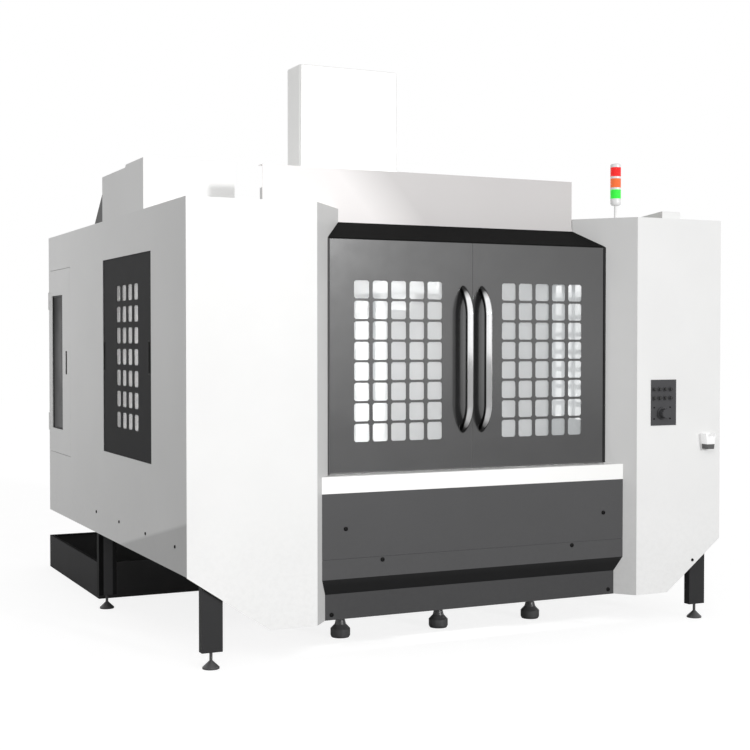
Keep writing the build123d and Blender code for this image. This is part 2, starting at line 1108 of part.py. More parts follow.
def bed_feet():
    """Six bell-shaped levelling mounts with their studs under the bed."""
    radius = bed_foot_disc / 2
    neck = bed_foot_neck / 2
    stud_top = bed_bottom - foot_boss[1]
    profile = [
        (0, 0),
        (radius - bed_foot_step, 0),
        (radius, 2 * bed_foot_step),
        (radius, bed_foot_height / 2),
        (neck + bed_foot_step, 3 * bed_foot_height / 4),
        (neck, bed_foot_height),
        (foot_stud, bed_foot_height),
        (foot_stud, stud_top),
        (0, stud_top),
    ]
    foot = revolve(make_face(Plane.XZ * Polyline(*profile, close=True)), Axis.Z)
    return [Pos(x, y, 0) * foot for x, y in bed_foot_places()]


def button_places():
    """Centres of the push buttons, two rows of four."""
    places = []
    for row in range(2):
        for col in range(button_cols):
            x = plate_left + button_margin + col * button_pitch
            places.append((x, button_top_row - row * button_row_pitch))
    return places


def operator_plate():
    """Plate on the right front panel, with a bezel round each button and a bore for the wheel."""
    right = plate_left + plate_width
    plate = block(plate_left, right, -plate_thick, 0, plate_bottom, plate_bottom + plate_height)
    bore = button_size + 2 * button_fit
    proud, rim = bezel_ring
    for x, z in button_places():
        plate += rod_y(bore + 2 * rim, -plate_thick - proud, -plate_thick, x, z)
        plate -= rod_y(bore, -plate_thick - 2 * proud, sheet, x, z)
    wheel_x, wheel_z = wheel_place
    boss = wheel_shaft + 4 * rim
    plate += rod_y(boss, 0, flange, wheel_x, wheel_z)
    bore = wheel_shaft + 2 * shaft_fit
    return plate - rod_y(bore, -flange, 2 * flange, wheel_x, wheel_z)


def push_button(x, z):
    """Round push button with a collar behind the plate."""
    button = rod_y(button_size, -plate_thick - button_reach, button_tail, x, z)
    front = button.faces().sort_by(Axis.Y)[0]
    return chamfer(front.edges(), button_bevel)


def handwheel():
    """Turning knob on its shaft: a skirt against the plate and a long notched grip."""
    x, z = wheel_place
    back = -plate_thick - wheel_gap
    grip = rod_y(grip_size, back - wheel_reach, back, x, z)
    grip = chamfer(grip.faces().sort_by(Axis.Y)[0].edges(), grip_bevel)
    half = notch_size / 2
    deep = grip_size / 2 - notch_depth
    notch = block(-half, half, back - 2 * wheel_reach, back - skirt_thick, deep, grip_size)
    for i in range(notch_count):
        grip -= Pos(x, 0, z) * Rot(0, 360 / notch_count * i, 0) * notch
    skirt = rod_y(wheel_size, back - skirt_thick, back, x, z)
    skirt = chamfer(skirt.faces().sort_by(Axis.Y)[0].edges(), grip_bevel)
    return grip + skirt + rod_y(wheel_shaft, back, flange, x, z)


def pendant_holder():
    """Folded pocket for the hand pendant: back, shelf, two flared cheeks and a lower front."""
    middle = holder_left + holder_width / 2
    top = holder_bottom + holder_height
    half = holder_width / 2
    low_half = half - holder_flare
    line = [
        (middle - half, top),
        (middle - low_half, holder_bottom),
        (middle + low_half, holder_bottom),
        (middle + half, top),
    ]
    holder = along_y(bent_strip(line, holder_sheet), -holder_reach, 0)
    holder += along_y(line, -holder_sheet, 0)
    ears = block(
        middle - holder_width,
        middle + holder_width,
        -2 * holder_reach,
        -holder_sheet,
        top - holder_front_drop,
        2 * top,
    )
    front = along_y(line, -holder_reach, holder_sheet - holder_reach)
    return holder + (front - ears)


def cabinet_hood():
    """Low sloped hood on the right roof."""
    back = hood_front + hood_depth
    profile = [
        (hood_front, wall_top),
        (hood_front, wall_top + hood_height),
        (back, wall_top + hood_rear_height),
        (back, wall_top),
    ]
    inside = [
        (hood_front + sheet, wall_top - sheet),
        (hood_front + sheet, wall_top + hood_height - 2 * sheet),
        (back - sheet, wall_top + hood_rear_height - sheet),
        (back - sheet, wall_top - sheet),
    ]
    right = hood_left + hood_width
    hood = along_x(profile, hood_left, right)
    return hood - along_x(inside, hood_left + sheet, right - sheet)


def tower_levels():
    """Bottom level of each lens of the signal tower."""
    low = wall_top + tower_base_bottom + tower_base_height
    step = tower_lens_height + tower_ring_height
    return [low + i * step for i in range(len(tower_order))]


def signal_tower():
    """Pole, base, spacer rings and cap of the signal tower."""
    x, y = tower_place
    base = wall_top + tower_base_bottom
    levels = tower_levels()
    wide, thick = tower_flange
    cup = rod_z(tower_size, base, levels[0], x, y)
    cup = fillet(cup.faces().sort_by(Axis.Z)[0].edges(), tower_base_round)
    pole = rod_z(tower_pole, wall_top, base + tower_base_round, x, y)
    pieces = [cup + pole + rod_z(wide, wall_top, wall_top + thick, x, y)]
    for level in levels[:-1]:
        low = level + tower_lens_height
        pieces.append(rod_z(tower_size, low, low + tower_ring_height, x, y))
    low = levels[-1] + tower_lens_height
    cap = rod_z(tower_size, low, low + tower_cap_height, x, y)
    cap = fillet(cap.faces().sort_by(Axis.Z)[-1].edges(), tower_cap_height / 2)
    pieces.append(cap)
    return Compound(children=pieces)


def tower_lens(level):
    """One coloured lens, a plain drum."""
    x, y = tower_place
    return rod_z(tower_size, level, level + tower_lens_height, x, y)


def bed():
    """Cast bed: a wide base on foot bosses and a raised body with the cross trough."""
    back = bed_back
    body = block(
        -bed_base_half, bed_base_half, bed_front + flange, back, bed_bottom, bed_base_top
    )
    body += block(-bed_half, bed_half, bed_front, back, bed_base_top, bed_top)
    boss, tall = foot_boss
    for x, y in bed_foot_places():
        body += rod_z(boss, bed_bottom - tall, bed_bottom, x, y)
    body -= block(
        -trough_half,
        trough_half,
        bed_front + bed_end_wall,
        y_way_back,
        bed_top - trough_depth,
        bed_top + sheet,
    )
    for side in (-1, 1):
        body += block(
            *sorted((side * bed_half, side * (bed_half + bed_ledge))),
            bed_front,
            back,
            bed_base_top,
            bed_base_top + bed_ledge,
        )
    bore = screw_size + 2 * shaft_fit
    return body - rod_y(bore, 0, bed_front + 2 * bed_end_wall, 0, screw_y_level)


def way(level, offset, y0, y1):
    """A linear rail along Y."""
    wide, tall = way_size
    return block(offset - wide / 2, offset + wide / 2, y0, y1, level, level + tall)


def y_ways():
    """Pair of rails on the bed."""
    return [way(bed_top, side * y_way_offset, bed_front, y_way_back) for side in (-1, 1)]


def carriage(middle_x, middle_y, rail_top, seat, along):
    """A rail carriage that straddles its rail with a running gap."""
    wide, long = block_size
    size = (wide, long) if along == "y" else (long, wide)
    body = block(
        middle_x - size[0] / 2,
        middle_x + size[0] / 2,
        middle_y - size[1] / 2,
        middle_y + size[1] / 2,
        rail_top - way_size[1] + block_shoulder,
        seat,
    )
    half = way_size[0] / 2 + way_fit
    if along == "y":
        groove = block(
            middle_x - half, middle_x + half, middle_y - long, middle_y + long, 0, rail_top + way_fit
        )
    else:
        groove = block(
            middle_x - long, middle_x + long, middle_y - half, middle_y + half, 0, rail_top + way_fit
        )
    return body - groove


def saddle():
    """Cast saddle on four carriages, with a trough for the screw and the screw's nut below."""
    front = axis_y - saddle_depth / 2
    body = block(
        -saddle_half, saddle_half, front, front + saddle_depth, saddle_bottom, saddle_top
    )
    for sx in (-1, 1):
        body -= block(
            *sorted((sx * (saddle_half + sheet), sx * bed_half)),
            front - sheet,
            front + saddle_cut[0],
            saddle_bottom - sheet,
            saddle_bottom + saddle_cut[1],
        )
        for sy in (-1, 1):
            body += carriage(
                sx * y_way_offset,
                axis_y + sy * carriage_pitch_y,
                bed_top + way_size[1],
                saddle_bottom,
                "y",
            )
    body -= block(
        bed_end_wall - saddle_half,
        saddle_half - bed_end_wall,
        axis_y - nut_width / 2 - screw_size,
        axis_y + nut_width / 2 + screw_size,
        saddle_top - nut_width,
        saddle_top + sheet,
    )
    nut_low = screw_y_level - nut_width / 3
    body += block(
        -nut_width / 2,
        nut_width / 2,
        axis_y - nut_reach / 2,
        axis_y + nut_reach / 2,
        nut_low,
        saddle_bottom,
    )
    bore = screw_size + 2 * shaft_fit
    body -= rod_y(bore, axis_y - nut_reach, axis_y + nut_reach, 0, screw_y_level)
    return body - rod_x(bore, -2 * saddle_half, 2 * saddle_half, axis_y, screw_x_level)


def x_ways():
    """Pair of rails on the saddle."""
    wide, tall = way_size
    rails = []
    for side in (-1, 1):
        y = axis_y + side * x_way_offset
        edge = saddle_half - flange
        rails.append(block(-edge, edge, y - wide / 2, y + wide / 2, saddle_top, saddle_top + tall))
    return rails


def table():
    """Slotted table on four carriages, with the screw's nut below."""
    front = axis_y - table_depth / 2
    body = block(-table_half, table_half, front, front + table_depth, table_bottom, table_top)
    for i in range(slot_count):
        y = axis_y + (i - (slot_count - 1) / 2) * slot_pitch
        neck, depth = slot_neck
        wide, tall = slot_foot
        body -= block(
            -2 * table_half, 2 * table_half, y - neck / 2, y + neck / 2, table_top - depth, 2 * table_top
        )
        low = table_top - depth - tall
        body -= block(
            -2 * table_half, 2 * table_half, y - wide / 2, y + wide / 2, low, low + tall
        )
    for sx in (-1, 1):
        for sy in (-1, 1):
            body += carriage(
                sx * carriage_pitch_x,
                axis_y + sy * x_way_offset,
                saddle_top + way_size[1],
                table_bottom,
                "x",
            )
    nut_low = screw_x_level - nut_width / 3
    body += block(
        -nut_reach / 2,
        nut_reach / 2,
        axis_y - nut_width / 2,
        axis_y + nut_width / 2,
        nut_low,
        table_bottom,
    )
    bore = screw_size + 2 * shaft_fit
    return body - rod_x(bore, -nut_reach, nut_reach, axis_y, screw_x_level)


def x_screw():
    return rod_x(screw_size, -saddle_half, saddle_half, axis_y, screw_x_level)


def y_screw():
    return rod_y(screw_size, bed_front, y_way_back - sheet, 0, screw_y_level)


def x_motor():
    """Motor on the right end of the saddle."""
    half = motor_size / 2
    low = screw_x_level - half
    return block(
        saddle_half, saddle_half + motor_length, axis_y - half, axis_y + half, low, low + motor_size
    )


def root_motors():
    """The motor in front of the bed and the larger one on top of the column."""
    half = motor_size / 2
    low = screw_y_level - half
    front = block(-half, half, bed_front - motor_length, bed_front, low, low + motor_size)
    half = z_motor_size / 2
    top = block(
        -half, half, column_middle - half, column_middle + half, column_top, column_top + z_motor_length
    )
    return Compound(children=[front, top])


def column():
    """Cast column with shoulders behind its rails and a channel for the screw."""
    shoulder = column_face + column_shoulder
    plan = [
        (-column_half, column_face),
        (column_half, column_face),
        (column_half, shoulder - column_shoulder / 3),
        (column_body_half, shoulder),
        (column_body_half, column_back),
        (-column_body_half, column_back),
        (-column_body_half, shoulder),
        (-column_half, shoulder - column_shoulder / 3),
    ]
    body = upright(plan, bed_top, column_top)
    foot_top = bed_top + column_foot_height
    foot = [
        (-column_foot_half, bed_top),
        (column_foot_half, bed_top),
        (column_foot_half, foot_top),
        (column_half, foot_top + column_foot_taper),
        (-column_half, foot_top + column_foot_taper),
        (-column_foot_half, foot_top),
    ]
    body += along_y(foot, column_face, column_back)
    body -= block(
        -channel_half,
        channel_half,
        column_face - sheet,
        column_face + channel_depth,
        channel_bottom,
        column_top - channel_roof,
    )
    bore = z_screw_size + 2 * shaft_fit
    return body - rod_z(bore, channel_bottom - flange, 2 * column_top, 0, column_middle)


def z_ways():
    """Pair of upright rails on the column."""
    wide, tall = way_size
    rails = []
    for side in (-1, 1):
        x = side * z_way_offset
        rails.append(
            block(x - wide / 2, x + wide / 2, column_face - tall, column_face, z_way_bottom, z_way_top)
        )
    return rails


def z_screw():
    low = channel_bottom - flange
    return rod_z(z_screw_size, low, column_top, 0, column_middle)


def spindle_head():
    """Cast head: a slide on four carriages, a neck and a rounded nose with the spindle's sleeve."""
    seat = column_face - way_size[1] - block_shoulder
    slide_front = seat - head_rear_depth
    body = block(-head_rear_half, head_rear_half, slide_front, seat, head_bottom, head_top)
    nose = block(-head_half, head_half, head_nose_front, slide_front, head_bottom, head_nose_top)
    corners = nose.edges().filter_by(Axis.Z).sort_by(Axis.Y)[:2]
    body += fillet(corners, head_round)
    ramp = [
        (slide_front, head_nose_top),
        (slide_front, head_top - flange),
        (axis_y + head_half + flange, head_nose_top),
    ]
    body += along_x(ramp, -head_half / 2, head_half / 2)
    sleeve = [
        (0, nose_bottom),
        (nose_size / 2, nose_bottom),
        (nose_size / 2, nose_bottom + nose_taper),
        (nose_size / 2 + flange, nose_bottom + 2 * nose_taper),
        (nose_size / 2 + flange, head_bottom),
        (0, head_bottom),
    ]
    body += Pos(0, axis_y, 0) * revolve(make_face(Plane.XZ * Polyline(*sleeve, close=True)), Axis.Z)
    bore = spindle_size + 2 * shaft_fit
    body -= rod_z(bore, nose_bottom - flange, head_nose_top + flange, 0, axis_y)
    wide, long = block_size
    for sx in (-1, 1):
        for middle in (head_block_low, head_block_high):
            x = sx * z_way_offset
            shoe = block(
                x - wide / 2,
                x + wide / 2,
                seat,
                column_face - block_shoulder,
                middle - long / 2,
                middle + long / 2,
            )
            half = way_size[0] / 2 + way_fit
            shoe -= block(
                x - half,
                x + half,
                column_face - way_size[1] - way_fit,
                column_face,
                middle - long,
                middle + long,
            )
            body += shoe
    middle = (head_block_low + head_block_high) / 2
    nut_half = nut_width / 2
    body += block(
        -nut_half, nut_half, seat, column_middle + nut_half, middle - nut_half, middle + nut_half
    )
    bore = z_screw_size + 2 * shaft_fit
    return body - rod_z(bore, middle - nut_width, middle + nut_width, 0, column_middle)


def spindle():
    """Spindle with a steep taper and two drive keys in its face."""
    low = spindle_face
    mouth = taper_mouth / 2
    small = mouth - taper_length * taper_ratio / 2
    drawbar = drawbar_bore / 2
    top = low + spindle_length
    profile = [
        (mouth, low),
        (spindle_size / 2, low),
        (spindle_size / 2, top),
        (drawbar, top),
        (drawbar, low + taper_length + flange),
        (small, low + taper_length + flange),
        (small, low + taper_length),
    ]
    body = revolve(make_face(Plane.XZ * Polyline(*profile, close=True)), Axis.Z)
    wide, deep, proud = drive_key
    for side in (-1, 1):
        x = side * (mouth + spindle_size / 2) / 2
        body += block(x - deep / 2, x + deep / 2, -wide / 2, wide / 2, low - proud, low)
    return Pos(0, axis_y, 0) * body


def spindle_motor():
    """Motor that stands on the head's nose over the spindle."""
    half = spindle_motor_size / 2
    motor = block(
        -half, half, axis_y - half, axis_y + half, head_nose_top, head_top - flange
    )
    return chamfer(motor.edges().filter_by(Axis.Z), flange)


def tool_magazine():
    """Disc of tool pots on a hub, with its axis across the machine."""
    disc = rod_x(disc_size, disc_x - disc_thick / 2, disc_x + disc_thick / 2, disc_y, disc_z)
    hub_end = disc_x + disc_thick / 2 + flange
    disc += rod_x(disc_hub, disc_x, hub_end, disc_y, disc_z)
    for i in range(pot_count):
        turn = Pos(0, disc_y, disc_z) * Rot(360 / pot_count * i, 0, 0)
        pot = rod_x(pot_size, disc_x - pot_length / 2, disc_x + pot_length / 2, 0, pot_circle / 2)
        disc += turn * pot
    bore = magazine_shaft + 2 * shaft_fit
    return disc - rod_x(bore, disc_x - pot_length, disc_x + pot_length, disc_y, disc_z)


def magazine_bracket():
    """Arm from the column's side that carries the magazine on a shaft."""
    half = bracket_section / 2
    hub_end = disc_x + disc_thick / 2 + flange
    near = hub_end + bracket_gap
    back = guard_plane + flange
    arm = block(
        near, -column_body_half, back, back + bracket_section, disc_z - half, disc_z + half
    )
    arm += block(
        near, near + bracket_section, disc_y - half, back + bracket_section, disc_z - half, disc_z + half
    )
    return arm + rod_x(magazine_shaft, disc_x - disc_thick / 2, near, disc_y, disc_z)


def splash_guard():
    """Inner back walls on both sides of the column, holed for the magazine's arm."""
    edge = half_width - sheet - side_rail[0] - fold_gap
    top = wall_top - sheet
    foot = column_foot_half + leg_notch
    foot_top = bed_top + column_foot_height + column_foot_taper + leg_notch
    notch = block(-foot, foot, column_face, column_back, bed_top, foot_top)
    left = block(
        -edge, -column_body_half, guard_plane, guard_plane + sheet, guard_bottom, top
    )
    hub_end = disc_x + disc_thick / 2 + flange
    near = hub_end + bracket_gap
    half = bracket_section / 2
    lap = flange / 6
    left -= block(
        near - lap,
        near + bracket_section + lap,
        guard_plane - sheet,
        guard_plane + 2 * sheet,
        disc_z - half - lap,
        disc_z + half + lap,
    )
    right = block(
        column_body_half, edge, guard_plane, guard_plane + sheet, guard_bottom, top
    )
    return [left - notch, right - notch]


def chip_pan():
    """Sloped sheets that carry chips from the side walls down to the bed."""
    pans = []
    for side in (-1, 1):
        outer = side * (half_width - 2 * sheet - side_rail[0])
        inner = side * (bed_half + bed_ledge + pan_gap)
        line = [(outer, pan_outer), (inner, pan_inner)]
        if side > 0:
            line = line[::-1]
        pan = along_y(bent_strip(line, sheet), pan_front, guard_plane)
        pans.append(pan)
    return pans


def save(name, shape):
    """Set a piece in the machine's own frame and write it."""
    solids = [Pos(-middle_x, -middle_y, 0) * solid for solid in shape.solids()]
    shape = solids[0] if len(solids) == 1 else Compound(solids)
    shape.label = name
    export_step(shape, f"parts/{name}.step")


os.makedirs("parts", exist_ok=True)

save("front_left_panel", front_panel(-1))
save("front_right_panel", front_right_panel())
save("left_wall", left_wall())
save("right_wall", right_wall())
save("sill", sill())
save("upper_apron", upper_apron())
save("lower_apron", lower_apron())
save("lintel", lintel())
save("upper_guard", upper_guard())
save("roof", roof())
save("magazine_cover", magazine_cover())
save("column_cover", column_cover())
save("door_track", door_track())
save("inner_guards", Compound(children=splash_guard() + chip_pan()))
save("coolant_tank", coolant_tank())
save("legs", legs())
save("levelling_feet", Compound(children=leg_feet() + bed_feet()))
save("operator_plate", operator_plate())
save("pendant_holder", pendant_holder())
save("cabinet_hood", cabinet_hood())
save("signal_tower", signal_tower())
for lens, level in zip(tower_order, tower_levels()):
    save(lens, tower_lens(level))

save("left_door", front_door(-1))
save("left_door_glass", door_glass(-1))
save("left_handle", door_handle(-1))
save("right_door", front_door(1))
save("right_door_glass", door_glass(1))
save("right_handle", door_handle(1))
save("left_side_door", side_door(-1, side_door_front, side_rows_left))
save("right_side_door", side_door(1, side_door_front + right_door_shift, side_rows_right))
save("access_door", access_door())

save("rear_wall", rear_wall())
save("electrical_cabinet", electrical_cabinet())
save("cabinet_door", cabinet_door())

save("bed", bed())
save("y_screw", y_screw())
slide = saddle()
for rail in x_ways():
    slide += rail
save("saddle", slide)
save("x_screw", x_screw())
save("x_motor", x_motor())
save("table", table())
save("column", column())
save("linear_ways", Compound(children=y_ways() + z_ways()))
save("z_screw", z_screw())
save("root_motors", root_motors())
save("spindle_head", spindle_head())
save("spindle", spindle())
save("spindle_motor", spindle_motor())
save("tool_magazine", tool_magazine())
save("magazine_bracket", Compound(children=[magazine_bracket(), magazine_brace()]))

save("handwheel", handwheel())
for i, (x, z) in enumerate(button_places()):
    save(f"button_{i + 1}", push_button(x, z))
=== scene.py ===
"""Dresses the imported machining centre: coats, castings, window panes, trim, floor and light."""

import math

import bpy
from bpy.props import FloatProperty, FloatVectorProperty, PointerProperty
from bpy.types import Operator, Panel, PropertyGroup
from mathutils import Matrix, Vector


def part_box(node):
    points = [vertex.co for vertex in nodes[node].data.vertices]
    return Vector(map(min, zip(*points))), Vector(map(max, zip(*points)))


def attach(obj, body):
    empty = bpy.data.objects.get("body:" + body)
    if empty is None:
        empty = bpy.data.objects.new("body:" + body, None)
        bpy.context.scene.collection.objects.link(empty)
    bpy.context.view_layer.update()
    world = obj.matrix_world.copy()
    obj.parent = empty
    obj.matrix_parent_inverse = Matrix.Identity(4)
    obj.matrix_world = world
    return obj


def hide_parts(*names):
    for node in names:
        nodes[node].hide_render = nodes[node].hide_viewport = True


bl_info = {
    "name": "Machining centre dressing",
    "version": (1, 0, 0),
    "blender": (4, 5, 0),
    "location": "3D View > Sidebar > Machine",
    "description": "Coats, castings, panes, trim and studio for the machining centre",
    "category": "Object",
}

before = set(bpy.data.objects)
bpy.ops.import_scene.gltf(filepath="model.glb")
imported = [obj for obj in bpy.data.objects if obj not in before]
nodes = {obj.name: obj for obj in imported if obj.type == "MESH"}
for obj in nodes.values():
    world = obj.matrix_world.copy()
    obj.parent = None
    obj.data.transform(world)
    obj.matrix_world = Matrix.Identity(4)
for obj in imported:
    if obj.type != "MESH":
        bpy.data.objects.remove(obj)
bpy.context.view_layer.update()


# Settings


def colour_property(label, words, value):
    """A colour that the user can change."""
    return FloatVectorProperty(
        name=label, description=words, subtype="COLOR", size=3, min=0, max=1, default=value
    )


def length_property(label, words, value, least=0.001):
    """A length in metres that the user can change."""
    return FloatProperty(name=label, description=words, unit="LENGTH", default=value, min=least)


def power_property(label, words, value):
    """A lamp's power that the user can change."""
    return FloatProperty(name=label, description=words, unit="POWER", default=value, min=0)


class CoatColours(PropertyGroup):
    """Colours of the coats, paints, metals and lenses"""

    white_sheet: colour_property(
        "White sheet", "Powder coat of panels, walls and covers", (0.79, 0.79, 0.785)
    )
    guard_sheet: colour_property("Guard sheet", "Coat of the inner guards", (0.6, 0.578, 0.57))
    upper_sheet: colour_property(
        "Upper sheet", "Coat of the guard over the doors", (0.87, 0.845, 0.84)
    )
    door_sheet: colour_property("Door sheet", "Coat of the sliding doors", (0.04, 0.04, 0.041))
    side_door_sheet: colour_property(
        "Side door sheet", "Coat of the doors in the side walls", (0.022, 0.022, 0.023)
    )
    apron_sheet: colour_property(
        "Apron sheet", "Coat of the two sheets under the doors", (0.075, 0.075, 0.077)
    )
    tank_sheet: colour_property("Tank sheet", "Coat of the coolant tank", (0.06, 0.06, 0.061))
    black_sheet: colour_property(
        "Black sheet", "Coat of the magazine's bracket and the motors", (0.012, 0.012, 0.013)
    )
    lintel_sheet: colour_property(
        "Lintel sheet", "Coat of the sloped sheet over the doors", (0.006, 0.006, 0.006)
    )
    holder_coat: colour_property("Holder", "Coat of the pendant's holder", (0.88, 0.88, 0.88))
    tower_white: colour_property("Tower", "Pole and rings of the signal tower", (0.8, 0.8, 0.79))
    foot_paint: colour_property("Foot paint", "Paint of the legs", (0.025, 0.025, 0.026))
    casting: colour_property("Casting", "Paint of bed, column and saddle", (0.84, 0.84, 0.83))
    head_casting: colour_property("Head casting", "Paint of the spindle head", (0.46, 0.46, 0.455))
    iron: colour_property("Ground iron", "Bare ground iron of the table", (0.30, 0.30, 0.31))
    steel: colour_property("Hard steel", "Ground ways, screws and spindle", (0.55, 0.55, 0.57))
    plastic: colour_property(
        "Panel plastic", "Dark plastic of the operator's plate", (0.009, 0.0092, 0.0098)
    )
    red: colour_property("Red lens", "Lens of the signal tower", (0.95, 0.006, 0.006))
    amber: colour_property("Amber lens", "Lens of the signal tower", (0.92, 0.16, 0.03))
    green: colour_property("Green lens", "Lens of the signal tower", (0.03, 0.9, 0.05))


class TrimSizes(PropertyGroup):
    """Sizes of the small pieces"""

    pane: length_property("Pane", "Thickness of the panes in the side doors", 0.005)
    gasket: length_property("Gasket", "Width of the rubber round the slit window", 0.012)
    screw: length_property("Screw head", "Diameter of the screws in the sheets", 0.018, 0.002)
    bend: length_property(
        "Handle bend", "Height over which each end of a handle curves in", 0.14, 0.05
    )
    tube: length_property("Handle tube", "Outer diameter of the bow handles", 0.044, 0.01)
    seal: length_property("Seal", "Width of the seals beside the front doors", 0.009)


class StudioSettings(PropertyGroup):
    """Light and camera"""

    sky: FloatProperty(
        name="Sky", description="Strength of the even light from all round", default=0.5, min=0
    )
    key: power_property("Key lamp", "Power of the large lamp at the front left", 60)
    side: FloatProperty(
        name="Side lamp", description="Strength of the far lamp at the front right",
        default=1.2, min=0,
    )
    inner: power_property("Work lamp", "Power of each lamp inside the guards", 24)
    lens: FloatProperty(
        name="Focal length", description="Lens of the camera", unit="CAMERA",
        default=66.24, min=1,
    )
    camera_place: FloatVectorProperty(
        name="Camera place", description="Where the camera stands", subtype="TRANSLATION",
        size=3, default=(-3.720, -8.292, 1.640),
    )
    camera_turn: FloatVectorProperty(
        name="Camera turn", description="Rotation of the camera", subtype="EULER",
        size=3, default=(math.radians(90 - 1.3766), 0, math.radians(-25.438)),
    )


# Nodes that more than one finish uses


def join(tree, start, end):
    """Link an output to an input."""
    tree.links.new(start, end)


def feed(tree, value, socket):
    """Set an input to a number, or link it to an output."""
    if isinstance(value, (int, float)):
        socket.default_value = value
    else:
        join(tree, value, socket)


def noise(tree, vector, scale, detail, roughness=0.5):
    """A noise texture read at the given place."""
    node = tree.nodes.new("ShaderNodeTexNoise")
    node.inputs["Scale"].default_value = scale
    node.inputs["Detail"].default_value = detail
    node.inputs["Roughness"].default_value = roughness
    join(tree, vector, node.inputs["Vector"])
    return node.outputs["Fac"]


def remap(tree, value, low, high, to_low, to_high):
    """Value stretched from one range to another, held at its ends."""
    node = tree.nodes.new("ShaderNodeMapRange")
    join(tree, value, node.inputs["Value"])
    ends = ("From Min", "From Max", "To Min", "To Max")
    for label, number in zip(ends, (low, high, to_low, to_high)):
        feed(tree, number, node.inputs[label])
    return node.outputs["Result"]


def calculate(tree, kind, a, b):
    """The result of one calculation with two values."""
    node = tree.nodes.new("ShaderNodeMath")
    node.operation = kind
    feed(tree, a, node.inputs[0])
    feed(tree, b, node.inputs[1])
    return node.outputs[0]


def times(tree, a, b):
    """One value times another."""
    return calculate(tree, "MULTIPLY", a, b)


def plus(tree, a, b):
    """One value added to another."""
    return calculate(tree, "ADD", a, b)


def minus(tree, a, b):
    """One value taken from another."""
    return calculate(tree, "SUBTRACT", a, b)


def slanted(tree, along, across, slope):
    """A place measured across a slanting line."""
    return plus(tree, along, times(tree, across, slope))


def split(tree, vector):
    """The X, Y and Z of a vector."""
    node = tree.nodes.new("ShaderNodeSeparateXYZ")
    join(tree, vector, node.inputs[0])
    return node.outputs


def facing(tree):
    """The X, Y and Z of the way that a face looks."""
    return split(tree, tree.nodes.new("ShaderNodeTexCoord").outputs["Normal"])


def rays(tree):
    """What kind of ray meets the surface."""
    return tree.nodes.new("ShaderNodeLightPath").outputs


def flat_colour(tree, colour):
    """One plain colour."""
    node = tree.nodes.new("ShaderNodeRGB")
    node.outputs[0].default_value = (*colour, 1)
    return node.outputs[0]


def shade(tree, colour, amount):
    """Colour made lighter or darker by a factor."""
    node = tree.nodes.new("ShaderNodeVectorMath")
    node.operation = "SCALE"
    join(tree, colour, node.inputs[0])
    join(tree, amount, node.inputs["Scale"])
    return node.outputs[0]


def blend(tree, amount, first, second):
    """Two shaders mixed on the surface."""
    mix = tree.nodes.new("ShaderNodeMixShader")
    join(tree, amount, mix.inputs["Fac"])
    join(tree, first.outputs[0], mix.inputs[1])
    join(tree, second.outputs[0], mix.inputs[2])
    join(tree, mix.outputs[0], tree.nodes["Material Output"].inputs["Surface"])


# Node groups that the finishes share

groups = {}
RESULTS = (
    ("Colour", "NodeSocketColor"), ("Roughness", "NodeSocketFloat"), ("Height", "NodeSocketFloat"),
)


def new_group(name, inputs):
    """An empty node group with its named inputs, and a colour, a roughness and a height."""
    group = bpy.data.node_groups.new(name, "ShaderNodeTree")
    for label, kind, value in inputs:
        socket = group.interface.new_socket(name=label, in_out="INPUT", socket_type=kind)
        socket.default_value = value
    for label, kind in RESULTS:
        group.interface.new_socket(name=label, in_out="OUTPUT", socket_type=kind)
    start = group.nodes.new("NodeGroupInput").outputs
    end = group.nodes.new("NodeGroupOutput").inputs
    return group, start, end


def coat_group():
    """Powder coat: fine orange peel, faint cloudiness and a little dust low down."""
    group, start, end = new_group(
        "powder_coat",
        [
            ("Place", "NodeSocketVector", (0, 0, 0)),
            ("Colour", "NodeSocketColor", (0.8, 0.8, 0.8, 1)),
            ("Roughness", "NodeSocketFloat", 0.4),
            ("Cloud", "NodeSocketFloat", 0.03),
            ("Dust", "NodeSocketFloat", 0.1),
        ],
    )
    place = start["Place"]
    least = minus(group, 1.0, start["Cloud"])
    clouds = remap(group, noise(group, place, 2.3, 4), 0.3, 0.7, least, 1.0)
    low = remap(group, split(group, place)["Z"], 0.0, 0.9, start["Dust"], 0.0)
    grain = noise(group, place, 38, 5, 0.65)
    spots = times(group, low, remap(group, grain, 0.42, 0.62, 0.0, 1.0))
    tone = times(group, clouds, minus(group, 1.0, spots))
    join(group, shade(group, start["Colour"], tone), end["Colour"])
    rubbed = remap(group, noise(group, place, 9, 3), 0.35, 0.65, -0.006, 0.008)
    rough = plus(group, start["Roughness"], rubbed)
    join(group, plus(group, rough, times(group, spots, 0.4)), end["Roughness"])
    join(group, noise(group, place, 620, 2), end["Height"])
    return group


def cast_group():
    """Painted casting: soft hollows of the mould and a pitted skin."""
    group, start, end = new_group(
        "cast_skin",
        [
            ("Place", "NodeSocketVector", (0, 0, 0)),
            ("Colour", "NodeSocketColor", (0.7, 0.7, 0.7, 1)),
            ("Roughness", "NodeSocketFloat", 0.5),
        ],
    )
    wide = noise(group, start["Place"], 7, 3)
    fine = noise(group, start["Place"], 150, 4, 0.6)
    hollows = remap(group, wide, 0.3, 0.7, 0.93, 1.0)
    pits = remap(group, fine, 0.3, 0.5, 0.9, 1.0)
    join(group, shade(group, start["Colour"], times(group, hollows, pits)), end["Colour"])
    rough = plus(group, start["Roughness"], remap(group, fine, 0.3, 0.7, 0.08, -0.06))
    join(group, rough, end["Roughness"])
    height = plus(group, times(group, wide, 0.6), times(group, fine, 0.4))
    join(group, height, end["Height"])
    return group


